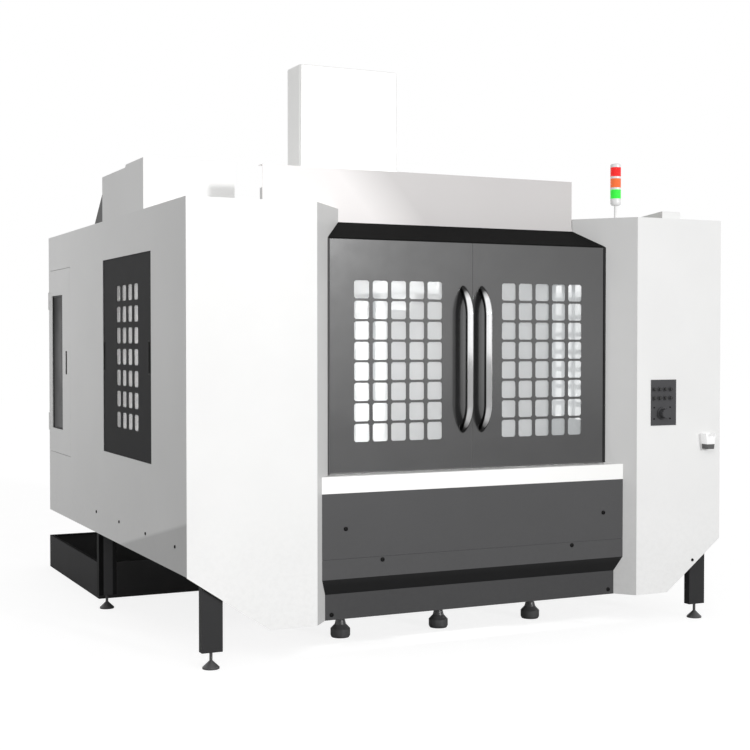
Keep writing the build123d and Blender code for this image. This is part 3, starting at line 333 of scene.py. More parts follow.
def brush_group():
    """Ground metal: fine lines along one way, with stains and a varying gloss."""
    group, start, end = new_group(
        "ground_lines",
        [
            ("Place", "NodeSocketVector", (0, 0, 0)),
            ("Stretch", "NodeSocketVector", (1, 30, 30)),
            ("Colour", "NodeSocketColor", (0.6, 0.6, 0.6, 1)),
            ("Roughness", "NodeSocketFloat", 0.3),
            ("Stain", "NodeSocketFloat", 0.1),
        ],
    )
    stretched = group.nodes.new("ShaderNodeVectorMath")
    stretched.operation = "MULTIPLY"
    join(group, start["Place"], stretched.inputs[0])
    join(group, start["Stretch"], stretched.inputs[1])
    lines = noise(group, stretched.outputs[0], 22, 4, 0.6)
    stain = noise(group, start["Place"], 11, 5, 0.6)
    least = minus(group, 1.0, start["Stain"])
    lined = remap(group, lines, 0.3, 0.7, 0.9, 1.04)
    tone = times(group, lined, remap(group, stain, 0.45, 0.7, 1.0, least))
    join(group, shade(group, start["Colour"], tone), end["Colour"])
    rough = plus(group, start["Roughness"], remap(group, lines, 0.3, 0.7, -0.07, 0.08))
    join(group, rough, end["Roughness"])
    join(group, lines, end["Height"])
    return group


# Finishes


def start_finish(name):
    """A new material's tree, its shader and the object's own coordinates."""
    material = bpy.data.materials.new(name)
    material.use_nodes = True
    tree = material.node_tree
    shader = tree.nodes["Principled BSDF"]
    place = tree.nodes.new("ShaderNodeTexCoord").outputs["Object"]
    return tree, shader, place


def bump(tree, shader, height, distance):
    """Height fed to the shader as a bump."""
    node = tree.nodes.new("ShaderNodeBump")
    node.inputs["Distance"].default_value = distance
    node.inputs["Strength"].default_value = 1.0
    join(tree, height, node.inputs["Height"])
    join(tree, node.outputs["Normal"], shader.inputs["Normal"])


def grouped(tree, shader, group, place, values):
    """A group placed in a material, its colour and roughness linked to the shader."""
    node = tree.nodes.new("ShaderNodeGroup")
    node.node_tree = groups[group]
    join(tree, place, node.inputs["Place"])
    for label, value in values.items():
        node.inputs[label].default_value = value
    join(tree, node.outputs["Colour"], shader.inputs["Base Color"])
    join(tree, node.outputs["Roughness"], shader.inputs["Roughness"])
    return node.outputs


def coat(name, colour, roughness, shine, cloud=0.03, dust=0.0):
    """A powder-coated sheet."""
    tree, shader, place = start_finish(name)
    values = {"Colour": (*colour, 1), "Roughness": roughness, "Cloud": cloud, "Dust": dust}
    skin = grouped(tree, shader, "coat", place, values)
    shader.inputs["Specular IOR Level"].default_value = shine
    bump(tree, shader, skin["Height"], 0.00012)


def toned_coat(
    name, colour, roughness, tone, cloud=0.03, dust=0.0, shine=0.25, ior=1.5, glow=0.0
):
    """A powder-coated sheet whose colour is also scaled by its place and the way that it faces,
    mostly as painted light and shade, and which can glow with painted light.
    """
    tree, shader, place = start_finish(name)
    values = {"Colour": (*colour, 1), "Roughness": roughness, "Cloud": cloud, "Dust": dust}
    skin = grouped(tree, shader, "coat", place, values)
    amount = tone(tree, split(tree, place))
    tinted = shade(tree, skin["Colour"], amount)
    join(tree, tinted, shader.inputs["Base Color"])
    # Painted light: the sheet glows in its own colour at the given strength
    join(tree, tinted, shader.inputs["Emission Color"])
    shader.inputs["Emission Strength"].default_value = glow
    join(tree, times(tree, amount, shine), shader.inputs["Specular IOR Level"])
    shader.inputs["IOR"].default_value = ior
    bump(tree, shader, skin["Height"], 0.00003)


def casting(name, colour, roughness):
    """A painted casting."""
    tree, shader, place = start_finish(name)
    values = {"Colour": (*colour, 1), "Roughness": roughness}
    skin = grouped(tree, shader, "cast", place, values)
    bump(tree, shader, skin["Height"], 0.0008)


def ground(name, colour, roughness, stretch):
    """Bare ground metal with its lines along one way."""
    tree, shader, place = start_finish(name)
    values = {"Colour": (*colour, 1), "Roughness": roughness, "Stretch": stretch, "Stain": 0.12}
    skin = grouped(tree, shader, "brush", place, values)
    shader.inputs["Metallic"].default_value = 1.0
    bump(tree, shader, skin["Height"], 0.00006)


def plastic(name, colour, roughness, shine=0.5):
    """Moulded plastic with a fine eroded grain."""
    tree, shader, place = start_finish(name)
    values = {"Colour": (*colour, 1), "Roughness": roughness, "Cloud": 0.08, "Dust": 0.0}
    skin = grouped(tree, shader, "coat", place, values)
    shader.inputs["Specular IOR Level"].default_value = shine
    bump(tree, shader, skin["Height"], 0.00025)


def tube_chrome():
    """Polished tube with faint rub marks, and a painted dark reflection where it faces the door
    behind it and close to the door.
    """
    tree, shader, place = start_finish("tube_chrome")
    values = {
        "Colour": (0.95, 0.95, 0.955, 1), "Roughness": 0.1, "Stretch": (60, 60, 4), "Stain": 0.04,
    }
    skin = grouped(tree, shader, "brush", place, values)
    way = facing(tree)
    # Painted reflection: darker on the side facing the door and close to the door
    back = minus(tree, times(tree, way["Y"], 0.8), times(tree, way["X"], 0.6))
    near = remap(tree, split(tree, place)["Y"], -1.69, -1.655, 1.0, 0.06)
    tone = times(tree, remap(tree, back, -0.05, 0.2, 1.0, 0.06), near)
    join(tree, shade(tree, skin["Colour"], tone), shader.inputs["Base Color"])
    shader.inputs["Metallic"].default_value = 1.0
    bump(tree, shader, skin["Height"], 0.00001)


def clear_pane():
    """Clear polycarbonate with a faint haze of wiping marks."""
    tree, shader, place = start_finish("clear_pane")
    shader.inputs["Base Color"].default_value = (1, 1, 1, 1)
    shader.inputs["Transmission Weight"].default_value = 1.0
    shader.inputs["IOR"].default_value = 1.1
    haze = noise(tree, place, 5, 5, 0.6)
    join(tree, remap(tree, haze, 0.4, 0.7, 0.0, 0.003), shader.inputs["Roughness"])
    clear = tree.nodes.new("ShaderNodeBsdfTransparent")
    blend(tree, rays(tree)["Is Shadow Ray"], shader, clear)


def dark_pane():
    """Smoked pane of the slit window, with a painted sheen, lighter low down and to the front, and
    faint streaks.
    """
    tree, shader, place = start_finish("dark_pane")
    streak = noise(tree, place, 3, 4, 0.6)
    parts = split(tree, place)
    painted_sheen = remap(tree, slanted(tree, parts["Z"], parts["Y"], 1.2), 2.1, 3.4, 1.3, 0.25)
    tone = times(tree, painted_sheen, remap(tree, streak, 0.35, 0.65, 0.9, 1.1))
    smoke = flat_colour(tree, (0.05, 0.05, 0.052))
    join(tree, shade(tree, smoke, tone), shader.inputs["Base Color"])
    join(tree, remap(tree, streak, 0.35, 0.65, 0.3, 0.4), shader.inputs["Roughness"])
    shader.inputs["Specular IOR Level"].default_value = 0.08


def lens(name, colour):
    """Ribbed lens of the signal tower, lit from inside."""
    tree, shader, place = start_finish(name)
    radians_per_metre = 1400
    wave = calculate(tree, "SINE", times(tree, split(tree, place)["Z"], radians_per_metre), 0.0)
    tinted = shade(tree, flat_colour(tree, colour), remap(tree, wave, -1.0, 1.0, 0.75, 1.0))
    join(tree, tinted, shader.inputs["Base Color"])
    join(tree, tinted, shader.inputs["Emission Color"])
    shader.inputs["Emission Strength"].default_value = 0.35
    shader.inputs["Roughness"].default_value = 0.22
    bump(tree, shader, wave, 0.0004)


# Tones of the coats: factors on the colour, by place in metres and by the way a face looks, most
# of them painted light and shade


def wall_painted_shade_and_reflection(tree, place):
    """Painted shade darker to the front, and a painted reflection darker under a slanting edge low
    down.
    """
    # Painted reflection: darker under a slanting edge low down
    low = remap(tree, slanted(tree, place["Z"], place["Y"], 0.211), 0.357, 0.377, 0.76, 1.0)
    # Painted shade: darker to the front
    return times(tree, low, remap(tree, place["Y"], -1.7, 1.0, 0.73, 0.94))


def front_painted_shade(tree, place):
    """Painted shade: greyer on the panels' returns."""
    way = facing(tree)["X"]
    right = remap(tree, way, 0.4, 0.6, 1.0, 0.7)
    return times(tree, right, remap(tree, way, -0.6, -0.4, 0.76, 1.0))


def cover_painted_shade(tree, place):
    """Painted shade: grey on the side and white in front."""
    return remap(tree, facing(tree)["X"], -0.6, -0.4, 0.83, 1.0)


def hood_painted_shade(tree, place):
    """Painted shade: greyer on the top and on the left."""
    way = facing(tree)
    top = remap(tree, way["Z"], 0.2, 0.4, 1.0, 0.7)
    return times(tree, top, remap(tree, way["X"], -0.6, -0.4, 0.72, 1.0))


def tank_painted_shade(tree, place):
    """Painted shade: darker on the rim."""
    return remap(tree, facing(tree)["Z"], 0.4, 0.6, 1.0, 0.08)


def leg_painted_highlight(tree, place):
    """Painted highlight: a lighter strip down the rear legs, with painted shade on either side of
    it.
    """
    left_edge = remap(tree, place["X"], -1.602, -1.598, 0.3, 1.9)
    strip = times(tree, left_edge, remap(tree, place["X"], -1.546, -1.54, 1.0, 0.3))
    rear = remap(tree, place["Y"], -0.5, -0.4, 0.0, 1.0)
    return plus(tree, 1.0, times(tree, rear, minus(tree, strip, 1.0)))


def tower_grey_and_painted_shade(tree, place):
    """Grey on the pole, and painted shade under the cup."""
    return remap(tree, place["Z"], 2.425, 2.447, 0.2, 1.0)


def holder_painted_shade(tree, place):
    """Painted shade: dark along the foot."""
    return remap(tree, place["Z"], 1.036, 1.04, 0.13, 1.0)


def guard_tone(tree, place):
    """White, and half as bright to the right of the column."""
    return remap(tree, place["X"], 0.3, 0.304, 1.0, 0.5)


def upper_painted_light(tree, place):
    """Painted light: white at the left end, running out into grey."""
    return remap(tree, slanted(tree, place["X"], place["Z"], 0.9), 1.6, 1.92, 1.05, 0.74)


def door_painted_shade(tree, place):
    """Painted shade and reflection: a little darker to the upper right."""
    return remap(tree, slanted(tree, place["X"], place["Z"], 2.235), 1.29, 5.79, 1.18, 0.76)


def apron_painted_shade(tree, place):
    """Painted shade: darker where the sheet is folded to face the floor, and on the kick plate."""
    under = remap(tree, facing(tree)["Z"], -0.4, -0.2, 0.3, 1.0)
    return times(tree, under, remap(tree, place["Z"], 0.36, 0.40, 0.78, 1.0))


# Modelling

# The middle of the machine's front in the row frame, in millimetres
FRONT_X, FRONT_Y = 6, -1766


def row(x, y, z):
    """A place in the row frame, from millimetres off the middle of the machine's front."""
    return Vector((FRONT_X + x, FRONT_Y + y, z)) / 1000


def deselect():
    """Leave edit mode, with nothing picked."""
    if bpy.context.object and bpy.context.object.mode != "OBJECT":
        bpy.ops.object.mode_set(mode="OBJECT")
    bpy.ops.object.select_all(action="DESELECT")


def activate(obj):
    """Pick one piece and no other."""
    deselect()
    obj.select_set(True)
    bpy.context.view_layer.objects.active = obj


def settle():
    """Apply the picked piece's own transform to its mesh."""
    bpy.ops.object.transform_apply(location=True, rotation=True, scale=True)


def edit(obj):
    """Open one piece for editing with nothing picked."""
    activate(obj)
    bpy.ops.object.mode_set(mode="EDIT")
    bpy.ops.mesh.select_all(action="DESELECT")


def pick(obj, test, kind="FACE"):
    """Pick faces by middle and normal, or edges by their two ends."""
    bpy.ops.mesh.select_mode(type=kind)
    bpy.ops.mesh.select_all(action="DESELECT")
    bpy.ops.object.mode_set(mode="OBJECT")
    mesh = obj.data
    if kind == "FACE":
        for face in mesh.polygons:
            face.select = test(face.center, face.normal)
    else:
        for edge in mesh.edges:
            edge.select = test(*(mesh.vertices[i].co for i in edge.vertices))
    bpy.ops.object.mode_set(mode="EDIT")


def push(way):
    """Extrude what is picked along a way."""
    bpy.ops.mesh.extrude_region_move(TRANSFORM_OT_translate={"value": way})


def merge(pieces, name):
    """Join pieces into one."""
    deselect()
    for piece in pieces:
        piece.select_set(True)
    bpy.context.view_layer.objects.active = pieces[0]
    if len(pieces) > 1:
        bpy.ops.object.join()
    pieces[0].name = name
    return pieces[0]


def wear(obj, finish):
    """Give a piece its one finish."""
    obj.data.materials.clear()
    obj.data.materials.append(bpy.data.materials[finish])


def done(obj, finish, body, angle=30):
    """Smooth, finish and seat a piece on its body."""
    activate(obj)
    settle()
    bpy.ops.object.shade_smooth_by_angle(angle=math.radians(angle))
    wear(obj, finish)
    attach(obj, body)


def tray(name, low, high, axis, sign, rim, deep, soften):
    """A box with a sunk middle on the face that looks along an axis, and softened edges."""
    deselect()
    low, high = Vector(low), Vector(high)
    bpy.ops.mesh.primitive_cube_add(size=1, location=(low + high) / 2, scale=high - low)
    obj = bpy.context.object
    obj.name = name
    settle()
    edit(obj)
    pick(obj, lambda middle, normal: normal[axis] * sign > 0.9)
    bpy.ops.mesh.inset(thickness=rim)
    way = [0, 0, 0]
    way[axis] = -sign * deep
    push(way)
    bpy.ops.mesh.select_all(action="SELECT")
    bpy.ops.mesh.bevel(offset=soften, segments=2, affect="EDGES", clamp_overlap=True)
    return obj


def open_middle(obj, low, high, reach):
    """Delete the faces across X whose middle is within reach of the box's middle in Y and Z."""
    box_middle = (low + high) / 2

    def near(middle, normal):
        off = middle - box_middle
        return abs(normal.x) > 0.9 and abs(off.y) < reach[0] and abs(off.z) < reach[1]

    pick(obj, near)
    bpy.ops.mesh.delete(type="FACE")


# Finish of each node

NODE_FINISH = {
    "white_sheet": "right_wall rear_wall sill roof column_cover electrical_cabinet cabinet_door",
    "front_sheet": "front_left_panel front_right_panel",
    "wall_sheet": "left_wall access_door",
    "cover_sheet": "magazine_cover",
    "hood_sheet": "cabinet_hood",
    "tank_sheet": "coolant_tank",
    "door_sheet": "left_door right_door",
    "side_door_sheet": "left_side_door right_side_door",
    "guard_sheet": "inner_guards",
    "upper_sheet": "upper_guard",
    "apron_sheet": "upper_apron lower_apron",
    "lintel_sheet": "lintel",
    "black_sheet": "magazine_bracket root_motors x_motor spindle_motor",
    "foot_paint": "legs",
    "foot_steel": "levelling_feet",
    "casting": "bed saddle column",
    "head_casting": "spindle_head",
    "table_iron": "table",
    "way_steel": "linear_ways door_track y_screw x_screw z_screw spindle tool_magazine",
    "tube_chrome": "left_handle right_handle",
    "clear_pane": "left_door_glass right_door_glass",
    "tower_white": "signal_tower",
    "red_lens": "red_lens",
    "amber_lens": "amber_lens",
    "green_lens": "green_lens",
    "panel_plastic": "operator_plate handwheel",
    "holder_coat": "pendant_holder",
    "button_plastic": " ".join(f"button_{i}" for i in range(1, 9)),
}

# Colour, roughness and shine of the small plastic and rubber pieces
PLASTICS = {
    "button_plastic": ((0.012, 0.012, 0.013), 0.25, 0.5),
    "rubber": ((0.006, 0.006, 0.006), 0.65, 0.5),
    "rosette": ((0.05, 0.05, 0.051), 0.4, 0.5),
    "foot_steel": ((0.075, 0.075, 0.077), 0.3, 0.5),
    "grey_rubber": ((0.075, 0.075, 0.076), 0.5, 0.5),
    "seam_rubber": ((0.14, 0.14, 0.141), 0.6, 0.1),
    "screw_black": ((0.003, 0.003, 0.003), 0.5, 0.15),
}


class MACHINE_OT_finishes(Operator):
    """Give every part of the machine its coat, casting skin, ground metal or plastic"""

    bl_idname = "machine.finishes"
    bl_label = "Finish the machine's parts"

    def execute(self, context):
        c = context.scene.coat_colours
        groups.update(coat=coat_group(), cast=cast_group(), brush=brush_group())

        coat("white_sheet", c.white_sheet, 0.42, shine=0.25, dust=0.05)
        coat("side_door_sheet", c.side_door_sheet, 0.6, shine=0.1, cloud=0.06)
        coat("black_sheet", c.black_sheet, 0.6, shine=0.05, cloud=0.1)
        coat("lintel_sheet", c.lintel_sheet, 0.6, shine=0.04, cloud=0.1)

        # Painted light: the white sheets below glow a little in their own colour
        white, glow = c.white_sheet, 0.12
        toned_coat("front_sheet", white, 0.42, front_painted_shade, dust=0.05, glow=glow)
        toned_coat("wall_sheet", white, 0.42, wall_painted_shade_and_reflection, dust=0.05, glow=glow)
        toned_coat("hood_sheet", white, 0.42, hood_painted_shade, glow=glow)
        toned_coat("cover_sheet", white, 0.42, cover_painted_shade, glow=glow)
        toned_coat("door_sheet", c.door_sheet, 0.16, door_painted_shade, cloud=0.04, shine=0.5, ior=2.0)
        toned_coat("apron_sheet", c.apron_sheet, 0.42, apron_painted_shade, cloud=0.05, dust=0.06)
        toned_coat("tank_sheet", c.tank_sheet, 0.6, tank_painted_shade, cloud=0.1, shine=0.05)
        toned_coat("foot_paint", c.foot_paint, 0.45, leg_painted_highlight, cloud=0.1, shine=0.2)
        # Painted light: the holder glows a little
        toned_coat("holder_coat", c.holder_coat, 0.4, holder_painted_shade, glow=0.2)
        # Painted light: the tower glows faintly
        toned_coat("tower_white", c.tower_white, 0.28, tower_grey_and_painted_shade, glow=0.02)
        toned_coat("guard_sheet", c.guard_sheet, 0.55, guard_tone)
        toned_coat("upper_sheet", c.upper_sheet, 0.5, upper_painted_light)

        casting("casting", c.casting, 0.45)
        casting("head_casting", c.head_casting, 0.5)
        ground("table_iron", c.iron, 0.34, (1, 26, 26))
        ground("way_steel", c.steel, 0.24, (40, 40, 2))
        tube_chrome()
        clear_pane()
        dark_pane()
        lens("red_lens", c.red)
        lens("amber_lens", c.amber)
        lens("green_lens", c.green)
        plastic("panel_plastic", c.plastic, 0.6, 0.1)
        for name, look in PLASTICS.items():
            plastic(name, *look)

        finished = set()
        for finish, names in NODE_FINISH.items():
            for name in names.split():
                wear(nodes[name], finish)
                finished.add(name)
        left = set(nodes) - finished
        if left:
            raise RuntimeError(f"no finish for {sorted(left)}")
        return {"FINISHED"}


# Small pieces, with places and sizes in millimetres off the middle of the machine's front

SIDES = (("left", -1), ("right", 1))

# The slit window and the pull of the access door, by two corners each
SLIT_PANE = row(-1641, 2704, 1051), row(-1638.3, 3017, 1953)
SLIT_GASKET = row(-1645, 2703.5, 1050.5), row(-1638.2, 3017.5, 1953.5)
ACCESS_PULL = row(-1649, 2573.5, 1425), row(-1638.5, 2612.5, 1579)

# The side doors' outer face and front edge, and their grips' places, depth, width and height
SIDE_DOOR_FACE = 1645
SIDE_DOOR_FRONT = {"left": 612, "right": 1061}
GRIP_BEHIND_FRONT = {"front": 45, "back": 996}
GRIP_Z = 1555
GRIP_SIZE = (14, 34, 174)

# The front opening's middle, half of its width at the seals, and the seals' ends in Y and Z
OPENING_MIDDLE = 50
SEAL_EDGE = 876.2
SEAL_Y = (141, 146)
SEAL_Z = (939, 2183)

# Each group of screws: its size against the setting, and its places
APRON_SCREWS = ((812, 62, 658), (598, 62, 483), (876, 103, 203))
SCREWS = {
    "front": (1.3, [(OPENING_MIDDLE + s * x, y, z) for s in (-1, 1) for x, y, z in APRON_SCREWS]),
    "left": (1, [(-1650, y, 603) for y in (195, 729, 1271, 1800)]),
    "corner": (1, [(1452, 0, 353.5)]),
    "plate": (0.55, [(x, -4, z) for x in (1168, 1282) for z in (1193, 1259)]),
}


class MACHINE_OT_panes(Operator):
    """Add the clear panes of the side doors and the dark pane of the access door"""

    bl_idname = "machine.panes"
    bl_label = "Side panes"

    def execute(self, context):
        t = context.scene.trim_sizes
        sunk, margin_y, margin_z = 0.0035, 0.22, 0.16
        for side, sign in SIDES:
            low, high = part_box(f"{side}_side_door")
            outer = (low.x if sign < 0 else high.x) - sign * sunk
            x0, x1 = sorted((outer, outer - sign * t.pane))
            obj = tray(
                f"{side}_side_pane",
                (x0, low.y + margin_y, low.z + margin_z),
                (x1, high.y - margin_y, high.z - margin_z),
                axis=0, sign=-sign, rim=0.02, deep=t.pane * 0.2, soften=t.pane * 0.1,
            )
            done(obj, "clear_pane", f"{side}_side_slider")
        obj = tray(
            "slit_pane", *SLIT_PANE, axis=0, sign=-1, rim=t.gasket, deep=0.001, soften=0.0006
        )
        done(obj, "dark_pane", "access_leaf")
        obj = tray(
            "slit_gasket", *SLIT_GASKET, axis=0, sign=-1, rim=t.gasket, deep=0.0045, soften=0.001
        )
        open_middle(obj, *SLIT_GASKET, reach=(0.01, 0.5))
        done(obj, "rubber", "access_leaf")
        return {"FINISHED"}


class MACHINE_OT_grips(Operator):
    """Line the grips of the side doors and the access door's pull with black cups"""

    bl_idname = "machine.grips"
    bl_label = "Grip cups"

    def execute(self, context):
        deep, wide, tall = GRIP_SIZE
        play, sunk, lip, flange = 0.3, 0.5, 5, 1.2
        for side, sign in SIDES:
            face = sign * SIDE_DOOR_FACE
            for end, behind in GRIP_BEHIND_FRONT.items():
                y = SIDE_DOOR_FRONT[side] + behind
                x0, x1 = sorted((face - sign * sunk, face - sign * (deep - sunk)))
                low = row(x0, y - wide / 2 + play, GRIP_Z - tall / 2 + play)
                high = row(x1, y + wide / 2 - play, GRIP_Z + tall / 2 - play)
                obj = tray(
                    f"{side}_{end}_grip_cup", low, high,
                    axis=0, sign=sign, rim=0.003, deep=0.011, soften=0.001,
                )
                done(obj, "rubber", f"{side}_side_slider")
                x0, x1 = sorted((face, face + sign * flange))
                low = row(x0, y - wide / 2 - lip, GRIP_Z - tall / 2 - lip)
                high = row(x1, y + wide / 2 + lip, GRIP_Z + tall / 2 + lip)
                obj = tray(
                    f"{side}_{end}_grip_flange", low, high,
                    axis=0, sign=sign, rim=0.006, deep=0.0006, soften=0.0002,
                )
                open_middle(obj, low, high, reach=(0.01, 0.05))
                done(obj, "rubber", f"{side}_side_slider")
        obj = tray(
            "access_pull_cup", *ACCESS_PULL, axis=0, sign=-1, rim=0.003, deep=0.008, soften=0.001
        )
        done(obj, "rubber", "access_leaf")
        return {"FINISHED"}


def press_end(obj, end, reach, lean):
    """Press a tube's open end flat on the door, drawn out to the outline of a slanting cut."""

    def on_rim(a, b):
        return max((a - end).length, (b - end).length) < reach and a.x != b.x

    pick(obj, on_rim, "EDGE")
    drawn_out = 1 / math.sin(lean) ** 2
    bpy.ops.transform.resize(value=(1, 0, drawn_out), center_override=end)


def bow_handle(name, ends, reach, sizes):
    """A tube swept from its lower end out to its straight part and back to its upper end."""
    foot, head = ends
    lean = 2 * math.atan2(reach, sizes.bend)
    axis_y = foot.y + sizes.bend / math.tan(lean)
    deselect()
    bpy.ops.mesh.primitive_circle_add(
        vertices=32, radius=sizes.tube / 2, location=foot, rotation=(lean, 0, 0)
    )
    obj = bpy.context.object
    obj.name = name
    settle()
    edit(obj)
    bpy.ops.mesh.select_all(action="SELECT")
    turn = {"steps": 10, "angle": lean, "axis": (1, 0, 0)}
    bpy.ops.mesh.spin(center=(foot.x, axis_y, foot.z + sizes.bend), **turn)
    push((0, 0, head.z - foot.z - 2 * sizes.bend))
    bpy.ops.mesh.spin(center=(foot.x, axis_y, head.z - sizes.bend), **turn)
    for end in ends:
        press_end(obj, end, sizes.tube * 0.55, lean)
    bpy.ops.mesh.select_all(action="SELECT")
    bpy.ops.mesh.remove_doubles(threshold=0.00001)
    bpy.ops.mesh.normals_make_consistent(inside=False)
    return obj


def rosettes(name, ends, sizes):
    """A thin disc with a rounded rim round each end of a handle."""
    thick = margin = 0.003
    discs = []
    for end in ends:
        deselect()
        bpy.ops.mesh.primitive_cylinder_add(
            vertices=48, radius=sizes.tube / 2 + margin, depth=thick,
            location=(end.x, end.y - thick / 2, end.z), rotation=(math.radians(90), 0, 0),
        )
        disc = bpy.context.object
        settle()
        edit(disc)
        pick(disc, lambda middle, normal: normal.y < -0.9)
        bpy.ops.mesh.bevel(offset=thick / 2, segments=3, affect="EDGES")
        discs.append(disc)
    return merge(discs, name)


class MACHINE_OT_handles(Operator):
    """Bend a thick polished tube into the bow handle of each front door"""

    bl_idname = "machine.handles"
    bl_label = "Door handles"

    def execute(self, context):
        t = context.scene.trim_sizes
        # How far the tube's middle line stays behind the solid handle's foremost point
        setback = 0.021
        for side, _ in SIDES:
            low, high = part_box(f"{side}_handle")
            half = (high.x - low.x) / 2
            middle = (low + high) / 2
            ends = [Vector((middle.x, high.y, z)) for z in (low.z + half, high.z - half)]
            obj = bow_handle(f"{side}_bow_handle", ends, high.y - low.y - setback, t)
            done(obj, "tube_chrome", f"{side}_door_slider", 60)
            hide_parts(f"{side}_handle")
            obj = rosettes(f"{side}_handle_rosettes", ends, t)
            done(obj, "rosette", f"{side}_door_slider")
        return {"FINISHED"}


def copies(obj, name, places):
    """Copies of a finished piece at the given places, joined into one."""
    made = []
    for place in places:
        twin = obj.copy()
        twin.data = obj.data.copy()
        twin.data.transform(Matrix.Translation(place))
        bpy.context.scene.collection.objects.link(twin)
        made.append(twin)
    bpy.data.objects.remove(obj)
    return merge(made, name)


class MACHINE_OT_screws(Operator):
    """Put a black button-head screw in each hole of the sheets and the operator's plate"""

    bl_idname = "machine.screws"
    bl_label = "Sheet screws"

    def execute(self, context):
        t = context.scene.trim_sizes
        for name, (factor, places) in SCREWS.items():
            size = t.screw * factor
            tall = size * 0.26
            deselect()
            bpy.ops.mesh.primitive_cylinder_add(
                vertices=24, radius=size / 2, depth=tall, location=(0, 0, tall / 2)
            )
            obj = context.object
            settle()
            edit(obj)
            pick(obj, lambda middle, normal: normal.z > 0.9)
            bpy.ops.mesh.bevel(offset=tall * 0.7, segments=3, affect="EDGES")
            pick(obj, lambda middle, normal: normal.z > 0.98)
            bpy.ops.mesh.inset(thickness=size * 0.08)
            push((0, 0, -tall * 0.6))
            activate(obj)
            quarter = math.radians(90)
            obj.rotation_euler = (0, -quarter, 0) if name == "left" else (quarter, 0, 0)
            settle()
            obj = copies(obj, f"{name}_screws", [row(*place) for place in places])
            done(obj, "screw_black", "root")
        return {"FINISHED"}


class MACHINE_OT_seals(Operator):
    """Add the seals beside, over and between the front doors and the strip between the aprons"""

    bl_idname = "machine.seals"
    bl_label = "Door seals"

    def execute(self, context):
        t = context.scene.trim_sizes
        for (side, sign), finish in zip(SIDES, ("grey_rubber", "rubber")):
            outer = OPENING_MIDDLE + sign * SEAL_EDGE
            x0, x1 = sorted((outer, outer - sign * t.seal * 1000))
            low, high = row(x0, SEAL_Y[0], SEAL_Z[0]), row(x1, SEAL_Y[1], SEAL_Z[1])
            obj = tray(
                f"{side}_door_seal", low, high,
                axis=1, sign=-1, rim=0.002, deep=0.0015, soften=0.0004,
            )
            done(obj, finish, "root")
        low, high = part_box("upper_apron")
        obj = tray(
            "apron_seam_strip",
            (low.x + 0.006, low.y + 0.0035, low.z - 0.021),
            (high.x - 0.006, low.y + 0.0055, low.z + 0.019),
            axis=1, sign=-1, rim=0.002, deep=0.0003, soften=0.0002,
        )
        done(obj, "apron_sheet", "root")
        low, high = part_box("left_door")
        right_low, right_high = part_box("right_door")
        top = high.z + 0.0006
        obj = tray(
            "lintel_seal",
            (low.x, low.y + 0.005, top),
            (right_high.x, low.y + 0.013, top + 0.005),
            axis=1, sign=-1, rim=0.001, deep=0.0005, soften=0.0003,
        )
        done(obj, "rubber", "root")
        obj = tray(
            "meeting_seal",
            (high.x + 0.0002, low.y + 0.0007, low.z + 0.001),
            (right_low.x - 0.0002, low.y + 0.008, high.z - 0.001),
            axis=1, sign=-1, rim=0.0008, deep=0.0002, soften=0.0001,
        )
        done(obj, "seam_rubber", "left_door_slider")
        return {"FINISHED"}


# Studio

# Each area lamp's name, its power setting, its place, what it points at, and its two widths
LAMPS = (
    ("key_lamp", "key", (-2.2, -5.6, 3.6), (-0.3, -1.7, 1.6), (3.0, 2.2)),
    ("left_work_lamp", "inner", (-0.85, -1.42, 1.7), (0.5, 0.0, 1.4), (0.08, 0.9)),
    ("right_work_lamp", "inner", (0.85, -1.42, 1.7), (-0.6, 0.0, 1.4), (0.08, 0.9)),
)
FLOOR_WIDTH = 60
SUN_TURN = (math.radians(80), 0, math.radians(18))


def add_floor():
    """A pale floor, brighter to the camera than to the light that it throws back."""
    deselect()
    bpy.ops.mesh.primitive_plane_add(size=FLOOR_WIDTH, location=(0, 0, 0))
    floor = bpy.context.object
    floor.name = "floor"
    tree, shader, place = start_finish("studio_floor")
    shader.inputs["Roughness"].default_value = 0.9
    shader.inputs["Specular IOR Level"].default_value = 0.0
    tone = remap(tree, noise(tree, place, 3, 4), 0.3, 0.7, 0.7, 0.74)
    join(tree, tone, shader.inputs["Base Color"])
    glow = tree.nodes.new("ShaderNodeEmission")
    glow.inputs["Strength"].default_value = 1.4
    blend(tree, times(tree, rays(tree)["Is Camera Ray"], 0.6), shader, glow)
    wear(floor, "studio_floor")


def add_sky(strength):
    """White all round: full where it is seen or mirrored, weaker as light."""
    world = bpy.data.worlds.new("studio_world")
    bpy.context.scene.world = world
    world.use_nodes = True
    tree = world.node_tree
    sky = tree.nodes["Background"]
    sky.inputs["Color"].default_value = (1, 1, 1, 1)
    ray = rays(tree)
    seen = calculate(tree, "MAXIMUM", ray["Is Camera Ray"], ray["Is Transmission Ray"])
    seen = calculate(tree, "MAXIMUM", seen, ray["Is Glossy Ray"])
    join(tree, remap(tree, seen, 0.0, 1.0, strength, 1.0), sky.inputs["Strength"])


def add_lamps(settings):
    """A far sun at the front right, and area lamps that no camera, pane or mirror shows."""
    bpy.ops.object.light_add(type="SUN", location=(4, -8, 7))
    sun = bpy.context.object
    sun.name = "side_lamp"
    sun.data.energy = settings.side
    sun.data.angle = math.radians(5)
    sun.rotation_euler = SUN_TURN
    for name, power, place, aim, widths in LAMPS:
        bpy.ops.object.light_add(type="AREA", location=place)
        lamp = bpy.context.object
        lamp.name = name
        lamp.visible_camera = lamp.visible_transmission = lamp.visible_glossy = False
        lamp.data.shape = "RECTANGLE"
        lamp.data.size, lamp.data.size_y = widths
        lamp.data.energy = getattr(settings, power)
        way = Vector(aim) - Vector(place)
        lamp.rotation_euler = way.to_track_quat("-Z", "Y").to_euler()


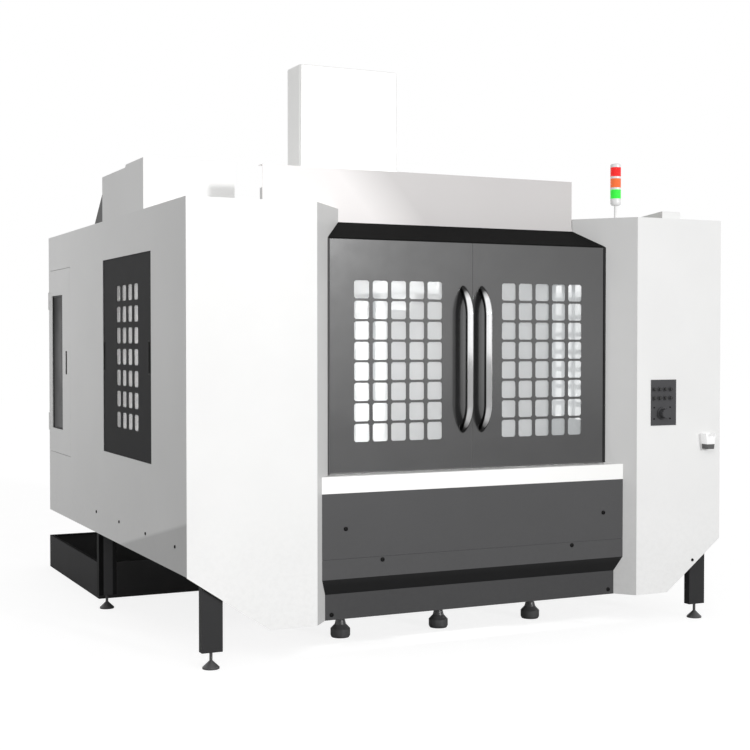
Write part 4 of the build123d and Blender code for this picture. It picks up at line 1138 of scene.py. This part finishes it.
def add_camera(settings):
    """The camera at the photo's viewpoint."""
    bpy.ops.object.camera_add(location=settings.camera_place, rotation=settings.camera_turn)
    camera = bpy.context.object
    camera.name = "photo_camera"
    camera.data.lens = settings.lens
    camera.data.sensor_width = 36
    camera.data.clip_end = 200
    bpy.context.scene.camera = camera
    bpy.context.scene.view_settings.view_transform = "Standard"


class MACHINE_OT_studio(Operator):
    """Set up the floor, the light and the camera"""

    bl_idname = "machine.studio"
    bl_label = "Studio"

    def execute(self, context):
        settings = context.scene.studio
        add_floor()
        add_sky(settings.sky)
        deselect()
        add_lamps(settings)
        add_camera(settings)
        return {"FINISHED"}


# Add-on

STEPS = ("finishes", "panes", "grips", "handles", "screws", "seals", "studio")


class MACHINE_PT_panel(Panel):
    """Every setting, and a button for each step"""

    bl_label = "Machining centre"
    bl_idname = "MACHINE_PT_panel"
    bl_space_type = "VIEW_3D"
    bl_region_type = "UI"
    bl_category = "Machine"

    def draw(self, context):
        """Lay out one box for each set of settings, then the buttons."""
        scene = context.scene
        for settings in (scene.coat_colours, scene.trim_sizes, scene.studio):
            box = self.layout.box()
            for name in settings.__annotations__:
                box.prop(settings, name)
        for step in STEPS:
            self.layout.operator(f"machine.{step}")


CLASSES = (
    CoatColours,
    TrimSizes,
    StudioSettings,
    MACHINE_OT_finishes,
    MACHINE_OT_panes,
    MACHINE_OT_grips,
    MACHINE_OT_handles,
    MACHINE_OT_screws,
    MACHINE_OT_seals,
    MACHINE_OT_studio,
    MACHINE_PT_panel,
)


def register():
    """Add the classes and the scene's settings."""
    for cls in CLASSES:
        bpy.utils.register_class(cls)
    bpy.types.Scene.coat_colours = PointerProperty(type=CoatColours)
    bpy.types.Scene.trim_sizes = PointerProperty(type=TrimSizes)
    bpy.types.Scene.studio = PointerProperty(type=StudioSettings)


def unregister():
    """Take the settings and the classes away again."""
    del bpy.types.Scene.coat_colours
    del bpy.types.Scene.trim_sizes
    del bpy.types.Scene.studio
    for cls in reversed(CLASSES):
        bpy.utils.unregister_class(cls)


def main():
    """Run every step."""
    register()
    for step in STEPS:
        getattr(bpy.ops.machine, step)()


if __name__ == "__main__":
    main()
